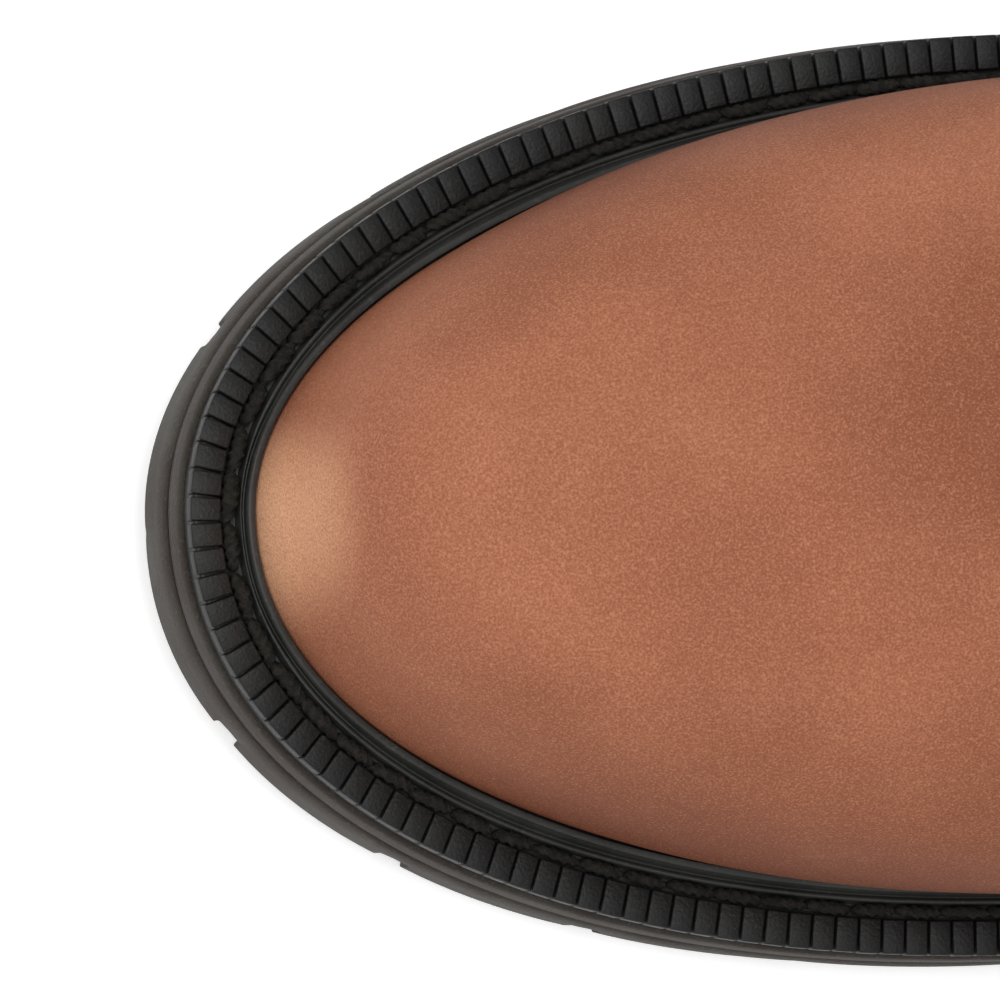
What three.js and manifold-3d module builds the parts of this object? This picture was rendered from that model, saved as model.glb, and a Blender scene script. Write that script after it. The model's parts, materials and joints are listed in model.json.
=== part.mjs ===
// A pull-on work boot with a steel toe cap and a stitched storm welt, right foot, in millimetres.
// The toe points to -X, the outer (little-toe) side of the foot is +Y, and +Z is up.
// The origin is on the ground, under the middle of the outsole's box.
import * as THREE from "three";
import { mergeVertices } from "three/addons/utils/BufferGeometryUtils.js";
import Module from "manifold-3d";

const wasm = await Module();
wasm.setup();
const { lerp, clamp, smoothstep } = THREE.MathUtils;

// ---- Driving dimensions -------------------------------------------------------------------
const LENGTH = 308; // outsole, toe to heel
const BALL_WIDTH = 116; // outsole at its widest
const HEEL_WIDTH = 80; // outsole at the heel seat
const HEEL_LENGTH = 92; // heel, from its breast to the back
const TOE_SWING = 0.6; // how far the toe's tip leans to the inner side
const FLANGE_TIP = 8.8; // from the outsole's edge in to the upper, at the tip of the toe
const FLANGE_BALL = 10.1; // the same along the forepart
const FLANGE_HEEL = 7.4; // the same at the heel
const COLLAR_HEIGHT = 262; // ground to the top of the shaft
const COLLAR_WIDTH = 102; // shaft across its top
const TOE_BOX_RISE = 49; // welt to the top of the toe box
const INSTEP_RISE = 131; // welt to the bend in front of the ankle

const LUG_DEPTH = 5;
const LUG_LENGTH = 26; // edge blocks, measured along the outline
const LUG_BAND = 13; // edge blocks, measured in from the outline
const GROOVE_WIDTH = 4;
const OUTSOLE_BASE = 4;
const MIDSOLE = 4.2;
const WELT = 3.4;
const HEEL_PITCH = 17; // how much higher the heel seat is than the ball
const TOE_SPRING = 9; // lift of the sole under the tip
const TOP_LIFT = 8; // the replaceable lowest layer of the heel

const LEATHER = 2.2;
const SHAFT_LEATHER = 2;
const LINING = 1;
const TOE_STEEL = 1.8;
const TOE_CAP_LENGTH = 54;
const CAP_STRIP = 6; // soft strip behind the steel's back edge
const STIFFENER = 1.7;
const INSOLE_BOARD = 2.4;
const FOOTBED = 5;
const FOOTBED_EASE = 2.5; // room round the footbed, where the toe box leans in over it
const RIB_WIDTH = 2; // the insole rib that the welt is sewn to
const SHANK_WIDTH = 15;
const SHANK_THICKNESS = 1.7;
const SHANK_LENGTH = 116;
const NAIL_RADIUS = 1.4;
const NAIL_HEAD_RADIUS = 2.8;
const NAIL_HEAD = 1;
const NAIL_GRIP = 11; // how deep a heel nail goes into the heel base
const THREAD_RADIUS = 0.9;
const PIPING_RADIUS = 1.2;
const BINDING_DEPTH = 8;
const BINDING_WALL = 1;
const LOOP_WIDTH = 25; // pull loop webbing
const LOOP_HEIGHT = 24;
const LOOP_OPENING = 4.2; // inner radius of the loop's crown
const LOOP_TAIL = 21; // how far the webbing is sewn down the outside
const WEBBING = 1.3;

const GAP = 0.3; // glue line or running clearance between neighbours
const GLUE = 0.45; // between the layers of the upper
const SIDE = 28; // outline stations along each side
const TURN = 2 * SIDE; // outline stations all the way round

// ---- Layers, from the sole up. Heights are above the tread root, the plane the lugs hang from ----
const midsoleLow = OUTSOLE_BASE + GAP;
const midsoleHigh = midsoleLow + MIDSOLE;
const weltLow = midsoleHigh + GAP;
const weltHigh = weltLow + WELT;
const upperLow = weltHigh + GAP;
const boardLow = upperLow;
const boardHigh = boardLow + INSOLE_BOARD;
const footbedLow = boardHigh + GAP;
const footbedHigh = footbedLow + FOOTBED;

// ---- Layers of the upper, as offsets from the outside of the vamp leather, inwards negative ----
const vampIn = -LEATHER;
const shaftOut = vampIn - GLUE;
const shaftIn = shaftOut - SHAFT_LEATHER;
const liningOut = shaftIn - GLUE;
const liningIn = liningOut - LINING;

const toeX = -LENGTH / 2;
const heelX = LENGTH / 2;
const breastX = heelX - HEEL_LENGTH; // front face of the heel

/** Outline of one side of the outsole: a quarter oval to the ball, the waist, a quarter oval heel. */
function sideOfSole({ side, ballAt, frontPower, waistDip, heelHalf }) {
  const ballX = toeX + ballAt * LENGTH;
  const heelSeatX = toeX + 0.815 * LENGTH;
  const tipY = -TOE_SWING * side;
  const ballHalf = BALL_WIDTH / 2;
  return (x) => {
    if (x <= ballX) {
      const u = clamp((ballX - x) / (ballX - toeX), 0, 1);
      return tipY + (ballHalf - tipY) * (1 - u ** frontPower) ** (1 / frontPower);
    }
    if (x >= heelSeatX) {
      const u = clamp((x - heelSeatX) / (heelX - heelSeatX), 0, 1);
      return heelHalf * (1 - u ** 2.3) ** (1 / 2.3);
    }
    const u = (x - ballX) / (heelSeatX - ballX);
    return lerp(ballHalf, heelHalf, smoothstep(u, 0, 1)) - waistDip * Math.sin(Math.PI * u) ** 2;
  };
}
const outerSide = sideOfSole({
  side: 1, ballAt: 0.38, frontPower: 2, waistDip: 4, heelHalf: HEEL_WIDTH / 2,
});
const innerSide = sideOfSole({
  side: -1, ballAt: 0.373, frontPower: 2.14, waistDip: 10, heelHalf: HEEL_WIDTH / 2,
});

/** Evenly spaced points down one side, from the tip of the toe to the back of the heel. */
function spacedSide(widthAt, side) {
  const fine = 600;
  const points = [];
  for (let i = 0; i <= fine; i++) {
    const x = -Math.cos((Math.PI * i) / fine) * heelX;
    points.push(new THREE.Vector2(x, side * widthAt(x)));
  }
  const path = new THREE.Path(points);
  path.arcLengthDivisions = fine;
  return path.getSpacedPoints(SIDE);
}
const outerPoints = spacedSide(outerSide, 1);
const innerPoints = spacedSide(innerSide, -1);
const soleOutline = [...outerPoints.slice(0, SIDE), ...innerPoints.slice(1).reverse()];
const outward = soleOutline.map((_, i) => {
  const before = soleOutline[(i + TURN - 1) % TURN];
  const after = soleOutline[(i + 1) % TURN];
  const along = after.clone().sub(before).normalize();
  return new THREE.Vector2(-along.y, along.x);
});

/** How far the welt stands out from the upper at a place along the boot. */
const TIP_REACH = 45; // over which the flange grows from the tip's to the ball's
const sideFlange = (x) => lerp(FLANGE_BALL, FLANGE_HEEL, smoothstep(x, -0.15 * LENGTH, 0.2 * LENGTH));
function flangeAt(x) {
  const tip = (FLANGE_TIP - FLANGE_BALL) * clamp(1 - (x - toeX) / TIP_REACH, 0, 1) ** 2;
  return sideFlange(x) + tip;
}

/** The outline moved in by inset, a distance in millimetres or a function of x. */
function outlineAt(inset) {
  return soleOutline.map((p, i) => {
    const d = typeof inset === "function" ? inset(p.x) : inset;
    return p.clone().addScaledVector(outward[i], -d);
  });
}

/** Height of the tread root above the ground: toe spring, flat ball, then up to the heel seat. */
const springFrom = toeX + 0.225 * LENGTH;
function treadRoot(x) {
  const spring = x < springFrom ? TOE_SPRING * ((springFrom - x) / (springFrom - toeX)) ** 2 : 0;
  const rise = HEEL_PITCH * smoothstep(x, toeX + 0.354 * LENGTH, breastX + 0.01 * LENGTH);
  return LUG_DEPTH + spring + rise;
}

// ---- Closed meshes from grids --------------------------------------------------------------
class Faces {
  constructor() {
    this.points = [];
    this.index = [];
  }
  add(point) {
    this.points.push(point.x, point.y, point.z);
    return this.points.length / 3 - 1;
  }
  quad(a, b, c, d) {
    this.index.push(a, b, c, a, c, d);
  }
  geometry() {
    const made = new THREE.BufferGeometry();
    made.setAttribute("position", new THREE.Float32BufferAttribute(this.points, 3));
    made.setIndex(this.index);
    return made;
  }
}

/** A layer of the sole: the outline between two heights, ruled straight across from side to side. */
function slab({ inset, low, high }) {
  const outline = outlineAt(inset);
  const faces = new Faces();
  const top = outline.map((p) => faces.add(new THREE.Vector3(p.x, p.y, high(p.x))));
  const under = outline.map((p) => faces.add(new THREE.Vector3(p.x, p.y, low(p.x))));
  for (let i = 0; i < TURN; i++) {
    const next = (i + 1) % TURN;
    faces.quad(top[i], top[next], under[next], under[i]);
  }
  for (let i = 0; i < SIDE; i++) {
    const across = (TURN - i) % TURN;
    const acrossNext = TURN - i - 1;
    faces.quad(top[i], top[across], top[acrossNext], top[i + 1]);
    faces.quad(under[across], under[i], under[i + 1], under[acrossNext]);
  }
  return faces.geometry();
}

/** A ring swept round the boot: rails are loops of points, taken in order round its section. */
function ring(rails) {
  const faces = new Faces();
  const loops = rails.map((rail) => rail.map((p) => faces.add(p)));
  loops.forEach((loop, j) => {
    const other = loops[(j + 1) % loops.length];
    loop.forEach((_, i) => {
      const next = (i + 1) % loop.length;
      const corners = [loop[i], other[i], other[next], loop[next]];
      if (i >= loop.length / 2) corners.push(corners.shift()); // so that both sides fold alike
      faces.quad(...corners);
    });
  });
  return faces.geometry();
}

/** A rail at a constant inset and height above the tread root. */
const rail = (inset, height) =>
  outlineAt(inset).map((p) => new THREE.Vector3(p.x, p.y, treadRoot(p.x) + height));

// ---- Solids: cutting and joining -----------------------------------------------------------
function solidOf(geometry) {
  const bare = new THREE.BufferGeometry();
  bare.setAttribute("position", geometry.getAttribute("position"));
  bare.setIndex(geometry.getIndex());
  const merged = mergeVertices(bare, 1e-4);
  return new wasm.Manifold(
    new wasm.Mesh({
      numProp: 3,
      vertProperties: merged.getAttribute("position").array,
      triVerts: new Uint32Array(merged.getIndex().array),
    }),
  );
}

function geometryOf(solid) {
  const mesh = solid.getMesh();
  const made = new THREE.BufferGeometry();
  made.setAttribute("position", new THREE.BufferAttribute(mesh.vertProperties, 3));
  made.setIndex(new THREE.BufferAttribute(mesh.triVerts, 1));
  return made;
}

/** A box from corner to corner, as a solid to cut with. */
function block(low, high) {
  const size = new THREE.Vector3().subVectors(high, low);
  const box = new THREE.BoxGeometry(size.x, size.y, size.z);
  box.translate((low.x + high.x) / 2, (low.y + high.y) / 2, (low.z + high.z) / 2);
  return solidOf(box);
}
const FAR = 2 * LENGTH;
const slice = (fromX, toX, fromZ = -FAR, toZ = FAR) =>
  block(new THREE.Vector3(fromX, -FAR, fromZ), new THREE.Vector3(toX, FAR, toZ));

function pin(x, y, low, high, radius, sides = 10) {
  const cylinder = new THREE.CylinderGeometry(radius, radius, high - low, sides);
  cylinder.rotateX(Math.PI / 2);
  cylinder.translate(x, y, (low + high) / 2);
  return solidOf(cylinder);
}

// ---- Shape of the upper --------------------------------------------------------------------
// Loops run round the boot like tilted hoops. Each hangs between a point on the front profile and
// one on the back profile, and turns from the sole's own outline into an oval as it climbs.
const featherInset = flangeAt;
const feather = outlineAt(featherInset);
const upperToeX = toeX + FLANGE_TIP;
const upperHeelX = heelX - FLANGE_HEEL;
const upperLength = upperHeelX - upperToeX;
const toeWeltZ = treadRoot(upperToeX) + upperLow;
const heelWeltZ = treadRoot(upperHeelX) + upperLow;
const shaftRise = COLLAR_HEIGHT - (toeWeltZ + INSTEP_RISE);

// One hoop a line: front point as a share of the upper's length and a height, back point as millimetres
// past the heel's welt line and a share of the way up, then half width as a share of the collar's,
// how far the loop is an oval rather than the sole's outline, the oval's bluntness, and the girth
// of the part that is not oval.
const toeHeight = (share) => toeWeltZ + share * TOE_BOX_RISE;
const instepHeight = (share) => toeWeltZ + lerp(TOE_BOX_RISE, INSTEP_RISE, share);
const legHeight = (share) => toeWeltZ + INSTEP_RISE + share * shaftRise;
const hoops = [
  [0, toeHeight(0), 0, 0, 0.96, 0, 1, 1],
  [0.004, toeHeight(0.24), 1.6, 0.011, 0.96, 0, 1, 1.04],
  [0.012, toeHeight(0.57), 2.6, 0.024, 0.94, 0, 1, 1.04],
  [0.046, toeHeight(0.85), 3.2, 0.042, 0.93, 0.03, 1, 1.02],
  [0.108, toeHeight(1), 3.6, 0.064, 0.91, 0.09, 1, 0.995],
  [0.186, instepHeight(0.07), 3.6, 0.09, 0.9, 0.2, 0.95, 0.97],
  [0.289, instepHeight(0.16), 3.1, 0.125, 0.87, 0.35, 0.9, 0.96],
  [0.375, instepHeight(0.29), 2.1, 0.17, 0.84, 0.5, 0.87, 0.95],
  [0.461, instepHeight(0.48), 0, 0.228, 0.8, 0.7, 0.85, 0.95],
  [0.522, instepHeight(0.73), -3, 0.316, 0.77, 0.87, 0.87, 0.95],
  [0.548, instepHeight(1), -5.5, 0.456, 0.79, 1, 0.9, 1],
  [0.554, legHeight(0.26), -6, 0.61, 0.86, 1, 0.95, 1],
  [0.547, legHeight(0.63), -4.5, 0.81, 0.94, 1, 1, 1],
  [0.534, legHeight(1), -2, 1, 1, 1, 1, 1],
].map(([along, frontZ, past, climb, half, oval, blunt, girth]) => ({
  frontX: upperToeX + along * upperLength,
  frontZ,
  backX: upperHeelX + past,
  backZ: lerp(heelWeltZ, COLLAR_HEIGHT, climb),
  half,
  oval,
  blunt,
  girth,
}));
const TOP = hoops.length - 1; // hoop number at the collar

/** One value of the hoops at a height between them, on a smooth curve through its neighbours. */
function hoopValue(key, height) {
  const last = clamp(Math.floor(height), 0, TOP - 1);
  const u = height - last;
  const [a, b, c, d] = [last - 1, last, last + 1, last + 2].map((i) => hoops[clamp(i, 0, TOP)][key]);
  const start = (c - a) / 2;
  const end = (d - b) / 2;
  return b + u * (start + u * (3 * (c - b) - 2 * start - end + u * (2 * (b - c) + start + end)));
}

/** A value of the feather line between its stations. turn is 0 at the toe, 0.5 at the heel. */
function featherAt(turn) {
  const place = (((turn % 1) + 1) % 1) * TURN;
  const i = Math.floor(place) % TURN;
  return feather[i].clone().lerp(feather[(i + 1) % TURN], place - Math.floor(place));
}

/** A point on the outside of the upper. turn goes round from the toe, height counts the hoops. */
function upper(turn, height) {
  const at = (key) => hoopValue(key, height);
  const foot = featherAt(turn);
  const angle = 2 * Math.PI * turn;
  const oval = at("oval");
  const wide = Math.sin(angle);
  const ovalY = (at("half") * COLLAR_WIDTH * Math.sign(wide) * Math.abs(wide) ** at("blunt")) / 2;
  const along = lerp((foot.x - upperToeX) / upperLength, (1 - Math.cos(angle)) / 2, oval);
  const lineZ = lerp(at("frontZ"), at("backZ"), along);
  const sag = treadRoot(foot.x) + upperLow - lerp(toeWeltZ, heelWeltZ, along);
  const fade = (1 - smoothstep(height, 0, 7)) * (1 - oval);
  return new THREE.Vector3(
    lerp(at("frontX"), at("backX"), along),
    lerp(foot.y * at("girth"), ovalY, oval),
    lineZ + sag * fade,
  );
}

/** The same point moved out of the surface by offset, or into the boot where it is negative. */
function skin(turn, height, offset) {
  const step = 0.006;
  const rise = 0.04;
  const round = upper(turn + step, height).sub(upper(turn - step, height));
  const up = upper(turn, height + rise).sub(upper(turn, height - rise));
  const normal = up.cross(round).normalize();
  return upper(turn, height).addScaledVector(normal, offset);
}

const topHoopRise = hoops[TOP].frontZ - hoops[TOP - 1].frontZ;

/** As skin, but below the feather and above the collar it goes straight down and straight up. */
function reach(turn, height, offset) {
  const nearest = clamp(height, 0, TOP);
  const point = skin(turn, nearest, offset);
  return point.setZ(point.z + (height - nearest) * topHoopRise);
}

/** One loop of the upper's lattice, on the same stations as the sole's outline. */
const hoopRail = (heightAt, offset) =>
  soleOutline.map((_, i) => reach(i / TURN, heightAt(i / TURN), offset));

const bindingEdge = TOP - BINDING_DEPTH / topHoopRise; // lower edge of the collar binding, in hoops
const levels = [0, 1, 2, 3, 3.5, 4, 5, 6, 7, 7.5, 8, 9, 10, 11, 12, bindingEdge, TOP];

/** One layer of the upper all round, between two offsets. Every layer is on the same lattice. */
function shell(outer, inner) {
  const layer = (offset) => levels.map((level) => hoopRail(() => level, offset));
  return solidOf(ring([...layer(outer), ...layer(inner).reverse()]));
}

/** A patch of the upper between two offsets, two turns and two heights. */
function patch({ columns, rows, from, to, low, high, outer, inner }) {
  const faces = new Faces();
  const layer = (offset) =>
    Array.from({ length: columns + 1 }, (_, c) =>
      Array.from({ length: rows + 1 }, (_, r) => {
        const height = lerp(low, high, r / rows);
        return faces.add(reach(lerp(from(height), to(height), c / columns), height, offset));
      }),
    );
  const out = layer(outer);
  const back = layer(inner);
  for (let c = 0; c < columns; c++)
    for (let r = 0; r < rows; r++) {
      faces.quad(out[c][r], out[c][r + 1], out[c + 1][r + 1], out[c + 1][r]);
      faces.quad(back[c][r], back[c + 1][r], back[c + 1][r + 1], back[c][r + 1]);
    }
  for (let c = 0; c < columns; c++) {
    faces.quad(out[c][0], out[c + 1][0], back[c + 1][0], back[c][0]);
    faces.quad(out[c][rows], back[c][rows], back[c + 1][rows], out[c + 1][rows]);
  }
  for (let r = 0; r < rows; r++) {
    faces.quad(out[0][r], back[0][r], back[0][r + 1], out[0][r + 1]);
    faces.quad(out[columns][r], out[columns][r + 1], back[columns][r + 1], back[columns][r]);
  }
  return faces.geometry();
}

// ---- Patterns that the layers of the upper are cut with ---------------------------------------
const CUT_OUT = 3; // how far the cutting shapes stand out of the upper on either side
const CUT_IN = liningIn - 3;
const PAST = 0.4; // and past its lower and upper edges, in hoops

/** Everything between two turns, at any height. */
const sector = (from, to) => solidOf(patch({
  columns: 24, rows: 15, from, to, low: -PAST, high: TOP + PAST, outer: CUT_OUT, inner: CUT_IN,
}));

/** Everything all round from under the feather up to a line, which is a height for each turn. */
function upTo(line) {
  const steps = 13;
  const rails = (offset) => Array.from({ length: steps + 1 }, (_, k) =>
    hoopRail((turn) => lerp(-PAST, line(turn), k / steps), offset));
  return solidOf(ring([...rails(CUT_OUT), ...rails(CUT_IN).reverse()]));
}

/** The side seam: down from the middle of the collar, a little forward of the heel, less a margin. */
function seam(height, margin) {
  const turn = lerp(0.345, 0.25, smoothstep(height, 1, TOP));
  const step = 0.01;
  const perTurn = upper(turn + step, height).distanceTo(upper(turn - step, height)) / (2 * step);
  return turn - margin / perTurn;
}
const front = (margin) => sector((h) => -seam(h, margin), (h) => seam(h, margin));
const rear = (margin) => sector((h) => seam(h, -margin), (h) => 1 - seam(h, -margin));

/** Top edge of the vamp and the counter: lowest at the side seams, high at the front and back. */
const COVER_SIDE = 7.2; // in hoops, as are the next three
const VAMP_PEAK = 2.5;
const COUNTER_PEAK = 1.7;
const LAP = 0.9; // how far the shaft goes down under the vamp and the counter
function coverTop(turn) {
  const vampPeak = VAMP_PEAK * Math.max(0, Math.cos((Math.PI * (turn > 0.5 ? turn - 1 : turn)) / 0.6)) ** 3;
  const counterPeak = COUNTER_PEAK * Math.max(0, Math.cos((Math.PI * (turn - 0.5)) / 0.42)) ** 2;
  return COVER_SIDE + vampPeak + counterPeak;
}

const group = new THREE.Group();
function place(name, geometry, [color, roughness, metalness = 0]) {
  const material = new THREE.MeshStandardMaterial({ color, roughness, metalness });
  const mesh = new THREE.Mesh(geometry, material);
  mesh.name = name;
  group.add(mesh);
  return mesh;
}
const COPPER_LEATHER = [0xb0765a, 0.6];
const BLACK_RUBBER = [0x2c2b28, 0.75];
const SOLE_RUBBER = [0x4f4a45, 0.8];
const THREAD = [0x24221f, 0.9];
const STEEL = [0x9a9c9e, 0.4, 1];
const BOARD = [0xa58f6c, 0.9];
const CORK = [0x9c6f45, 0.95];
const TEXTILE = [0x8d8170, 0.95];
const FOAM = [0x3b3c3e, 0.9];

// ---- Sole unit -----------------------------------------------------------------------------
const nailPlaces = [
  [0.28, 0.36], [0.28, -0.36], [0.48, 0.4], [0.48, -0.4], [0.69, 0],
].map(([along, across]) => [lerp(breastX, heelX, along), (across * HEEL_WIDTH) / 2]);
const seatRoot = treadRoot(nailPlaces[0][0]);

/** Takes the clearance holes of the heel nails out of a layer. */
function drilled(solid, low = -FAR, radius = NAIL_RADIUS + GAP) {
  return nailPlaces.reduce((left, [x, y]) => left.subtract(pin(x, y, low, FAR, radius)), solid);
}

const lugEndX = toeX + 0.5 * LENGTH; // the waist behind it is plain
const CHANNEL_WIDTH = 3.5; // between the edge blocks and the bars across the middle
const BAR_PITCH = 16; // from one chevron groove to the next
const GROOVE_FLOOR = 0.6; // rubber left between a groove and the tread root

/** A box that cuts one groove, length long and turned by angle about the vertical. */
function groove(x, y, angle, length) {
  const depth = LUG_DEPTH - GROOVE_FLOOR;
  const slope = Math.atan(treadRoot(x + 0.5) - treadRoot(x - 0.5));
  const box = new THREE.BoxGeometry(GROOVE_WIDTH, length, depth + 2);
  box.rotateZ(angle);
  box.rotateY(-slope);
  box.translate(x, y, treadRoot(x) - LUG_DEPTH + depth / 2 - 1);
  return solidOf(box);
}

/** The solid between an inset and the middle of the sole, from below the lugs up to a height. */
const tread = (inset, high, under = 1) => solidOf(slab({
  inset,
  low: (x) => treadRoot(x) - LUG_DEPTH - under,
  high: (x) => treadRoot(x) + high,
}));

/** Tread: blocks round the edge, a channel inside them, and chevron bars across the middle. */
function treadGrooves() {
  const channelEdge = LUG_BAND + CHANNEL_WIDTH;
  let cut = tread(LUG_BAND, -GROOVE_FLOOR).subtract(tread(channelEdge, 1, 2));
  const spacing = soleOutline[SIDE / 2].distanceTo(soleOutline[SIDE / 2 + 1]);
  const every = Math.max(1, Math.round(LUG_LENGTH / spacing));
  soleOutline.forEach((p, i) => {
    if ((i + 1) % every || p.x > lugEndX) return;
    const place = p.clone().addScaledVector(outward[i], -LUG_BAND / 2);
    const angle = Math.atan2(outward[i].y, outward[i].x) - Math.PI / 2;
    cut = cut.add(groove(place.x, place.y, angle, LUG_BAND + 3));
  });
  const core = tread(channelEdge - 1, 3, 4);
  const chevron = Math.PI / 7;
  const bar = BALL_WIDTH / 3;
  for (let x = toeX + 34; x < lugEndX; x += BAR_PITCH)
    for (const side of [1, -1]) {
      const middle = x + Math.sin(chevron) * (bar / 2);
      cut = cut.add(groove(middle, (side * bar) / 2, side * chevron, bar).intersect(core));
    }
  return cut;
}

const outsoleBase = solidOf(
  slab({ inset: 0, low: treadRoot, high: (x) => treadRoot(x) + OUTSOLE_BASE }),
);
const lugs = solidOf(
  slab({ inset: 0, low: (x) => treadRoot(x) - LUG_DEPTH, high: (x) => treadRoot(x) + 0.5 }),
).intersect(slice(-FAR, lugEndX)).subtract(treadGrooves());
place("outsole", geometryOf(drilled(outsoleBase.add(lugs))), SOLE_RUBBER);

place("midsole", geometryOf(drilled(solidOf(slab({
  inset: 0.7,
  low: (x) => treadRoot(x) + midsoleLow,
  high: (x) => treadRoot(x) + midsoleHigh,
})))), BLACK_RUBBER);

/** The heel is two layers under the seat, cut off square at the breast. */
function heelLayer(inset, low, high) {
  return solidOf(slab({ inset, low: () => low, high: () => high })).intersect(slice(breastX, FAR));
}
const heelBaseHigh = seatRoot - GAP;
const nailTip = heelBaseHigh - NAIL_GRIP;
const heelBase = heelLayer(1, TOP_LIFT + GAP, heelBaseHigh);
place("heel_base", geometryOf(drilled(heelBase, nailTip - GAP)), SOLE_RUBBER);

const liftGrooves = [0.25, 0.55].map((share) => {
  const x = lerp(breastX, heelX, share);
  return block(
    new THREE.Vector3(x - 2, -FAR, -1),
    new THREE.Vector3(x + 2, FAR, LUG_DEPTH),
  ).intersect(heelLayer(-1, -2, TOP_LIFT + 1).subtract(heelLayer(12, -3, TOP_LIFT + 2)));
});
const topLift = liftGrooves.reduce((left, cut) => left.subtract(cut), heelLayer(0.4, 0, TOP_LIFT));
place("heel_top_lift", geometryOf(topLift), SOLE_RUBBER);

// ---- Storm welt, its thread, and what lies inside it ----------------------------------------
/** Insets of the welt's section: as a share of the flange's width at the sides, or from the feather. */
const flangeShare = (share, extra = 0) => (x) => share * sideFlange(x) + extra;
const inside = (extra) => (x) => flangeAt(x) + extra;
const lipHeight = 0.3; // how high the welt's lip leans on the upper, in hoops
const lipWall = 0.5;
const channelFloor = weltHigh - 1.1;
const threadMiddle = 0.6; // share of the flange
const channelHalf = THREAD_RADIUS + GAP;
const weltInner = 8;
place("storm_welt", ring([
  rail(flangeShare(0.1), weltLow),
  rail(flangeShare(0.12), weltHigh - 0.4),
  rail(flangeShare(threadMiddle, -channelHalf - 0.3), weltHigh + 0.1),
  rail(flangeShare(threadMiddle, -channelHalf), channelFloor),
  rail(flangeShare(threadMiddle, channelHalf), channelFloor),
  rail(flangeShare(threadMiddle, channelHalf + 0.1), weltHigh + 0.7),
  rail(inside(-GAP - lipWall - 0.2), weltHigh + 0.5),
  hoopRail(() => lipHeight, GAP + lipWall),
  hoopRail(() => lipHeight, GAP),
  rail(inside(-GAP), weltHigh),
  rail(inside(weltInner), weltHigh),
  rail(inside(weltInner), weltLow),
]), BLACK_RUBBER);

const threadSides = 6;
place("welt_thread", ring(Array.from({ length: threadSides }, (_, k) => {
  const angle = (-2 * Math.PI * k) / threadSides;
  const across = THREAD_RADIUS * Math.cos(angle);
  const height = channelFloor + GAP + THREAD_RADIUS * (1 + Math.sin(angle));
  return rail(flangeShare(threadMiddle, across), height);
})), THREAD);

const ribOuter = weltInner + GAP;
const ribInner = ribOuter + RIB_WIDTH;
place("insole_rib", ring([
  rail(inside(ribOuter), weltLow),
  rail(inside(ribOuter), weltHigh),
  rail(inside(ribInner), weltHigh),
  rail(inside(ribInner), weltLow),
]), BOARD);

const shankMiddle = breastX - 0.27 * SHANK_LENGTH;
const shankLow = weltLow + 0.6;
function shankStrip(extra, low, high) {
  const half = SHANK_LENGTH / 2 + extra;
  const width = SHANK_WIDTH / 2 + extra;
  return solidOf(slab({ inset: 0, low: (x) => treadRoot(x) + low, high: (x) => treadRoot(x) + high }))
    .intersect(block(
      new THREE.Vector3(shankMiddle - half, -width, -FAR),
      new THREE.Vector3(shankMiddle + half, width, FAR),
    ));
}
place("steel_shank", geometryOf(
  shankStrip(0, shankLow, shankLow + SHANK_THICKNESS).subtract(
    nailPlaces.reduce(
      (all, [x, y]) => all.add(pin(x, y, -FAR, FAR, NAIL_RADIUS + GAP)),
      pin(nailPlaces[0][0], nailPlaces[0][1], -FAR, FAR, NAIL_RADIUS + GAP),
    ),
  ),
), STEEL);

const cork = solidOf(slab({
  inset: inside(ribInner + GAP),
  low: (x) => treadRoot(x) + weltLow,
  high: (x) => treadRoot(x) + weltHigh,
})).subtract(shankStrip(GAP, shankLow - GAP, weltHigh + 1));
place("cork_filler", geometryOf(drilled(cork)), CORK);

const boardTop = seatRoot + boardHigh;
const boardInset = inside(-liningIn + GAP);
const board = solidOf(slab({
  inset: boardInset,
  low: (x) => treadRoot(x) + boardLow,
  high: (x) => treadRoot(x) + boardHigh,
}));
place("insole_board", geometryOf(drilled(
  drilled(board), boardTop - NAIL_HEAD - GAP, NAIL_HEAD_RADIUS + GAP,
)), BOARD);

place("footbed", slab({
  inset: inside(-liningIn + GAP + FOOTBED_EASE),
  low: (x) => treadRoot(x) + footbedLow,
  high: (x) => treadRoot(x) + footbedHigh,
}), FOAM);

nailPlaces.forEach(([x, y], i) => {
  const head = boardTop - 0.1;
  const profile = [
    [0, nailTip],
    [NAIL_RADIUS, nailTip + 3],
    [NAIL_RADIUS, head - NAIL_HEAD],
    [NAIL_HEAD_RADIUS, head - NAIL_HEAD],
    [NAIL_HEAD_RADIUS, head],
    [0, head],
  ].map(([r, z]) => new THREE.Vector2(r, z));
  const nail = new THREE.LatheGeometry(profile, 10);
  nail.rotateX(Math.PI / 2);
  place(`heel_nail_${i + 1}`, nail, STEEL).position.set(x, y, 0);
});

// ---- Upper ---------------------------------------------------------------------------------
const covers = shell(0, vampIn).intersect(upTo(coverTop));
place("vamp", geometryOf(covers.intersect(front(GAP / 2))), COPPER_LEATHER);
place("counter_cover", geometryOf(covers.intersect(rear(GAP / 2))), COPPER_LEATHER);

const slotHalf = PIPING_RADIUS + 2 * GAP;
const shaft = shell(shaftOut, shaftIn).subtract(upTo((turn) => coverTop(turn) - LAP));
place("shaft_front", geometryOf(shaft.intersect(front(slotHalf))), COPPER_LEATHER);
place("shaft_back", geometryOf(shaft.intersect(rear(slotHalf))), COPPER_LEATHER);

const lining = shell(liningOut, liningIn);
place("lining_front", geometryOf(lining.intersect(front(GAP / 2))), TEXTILE);
place("lining_back", geometryOf(lining.intersect(rear(GAP / 2))), TEXTILE);

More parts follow.
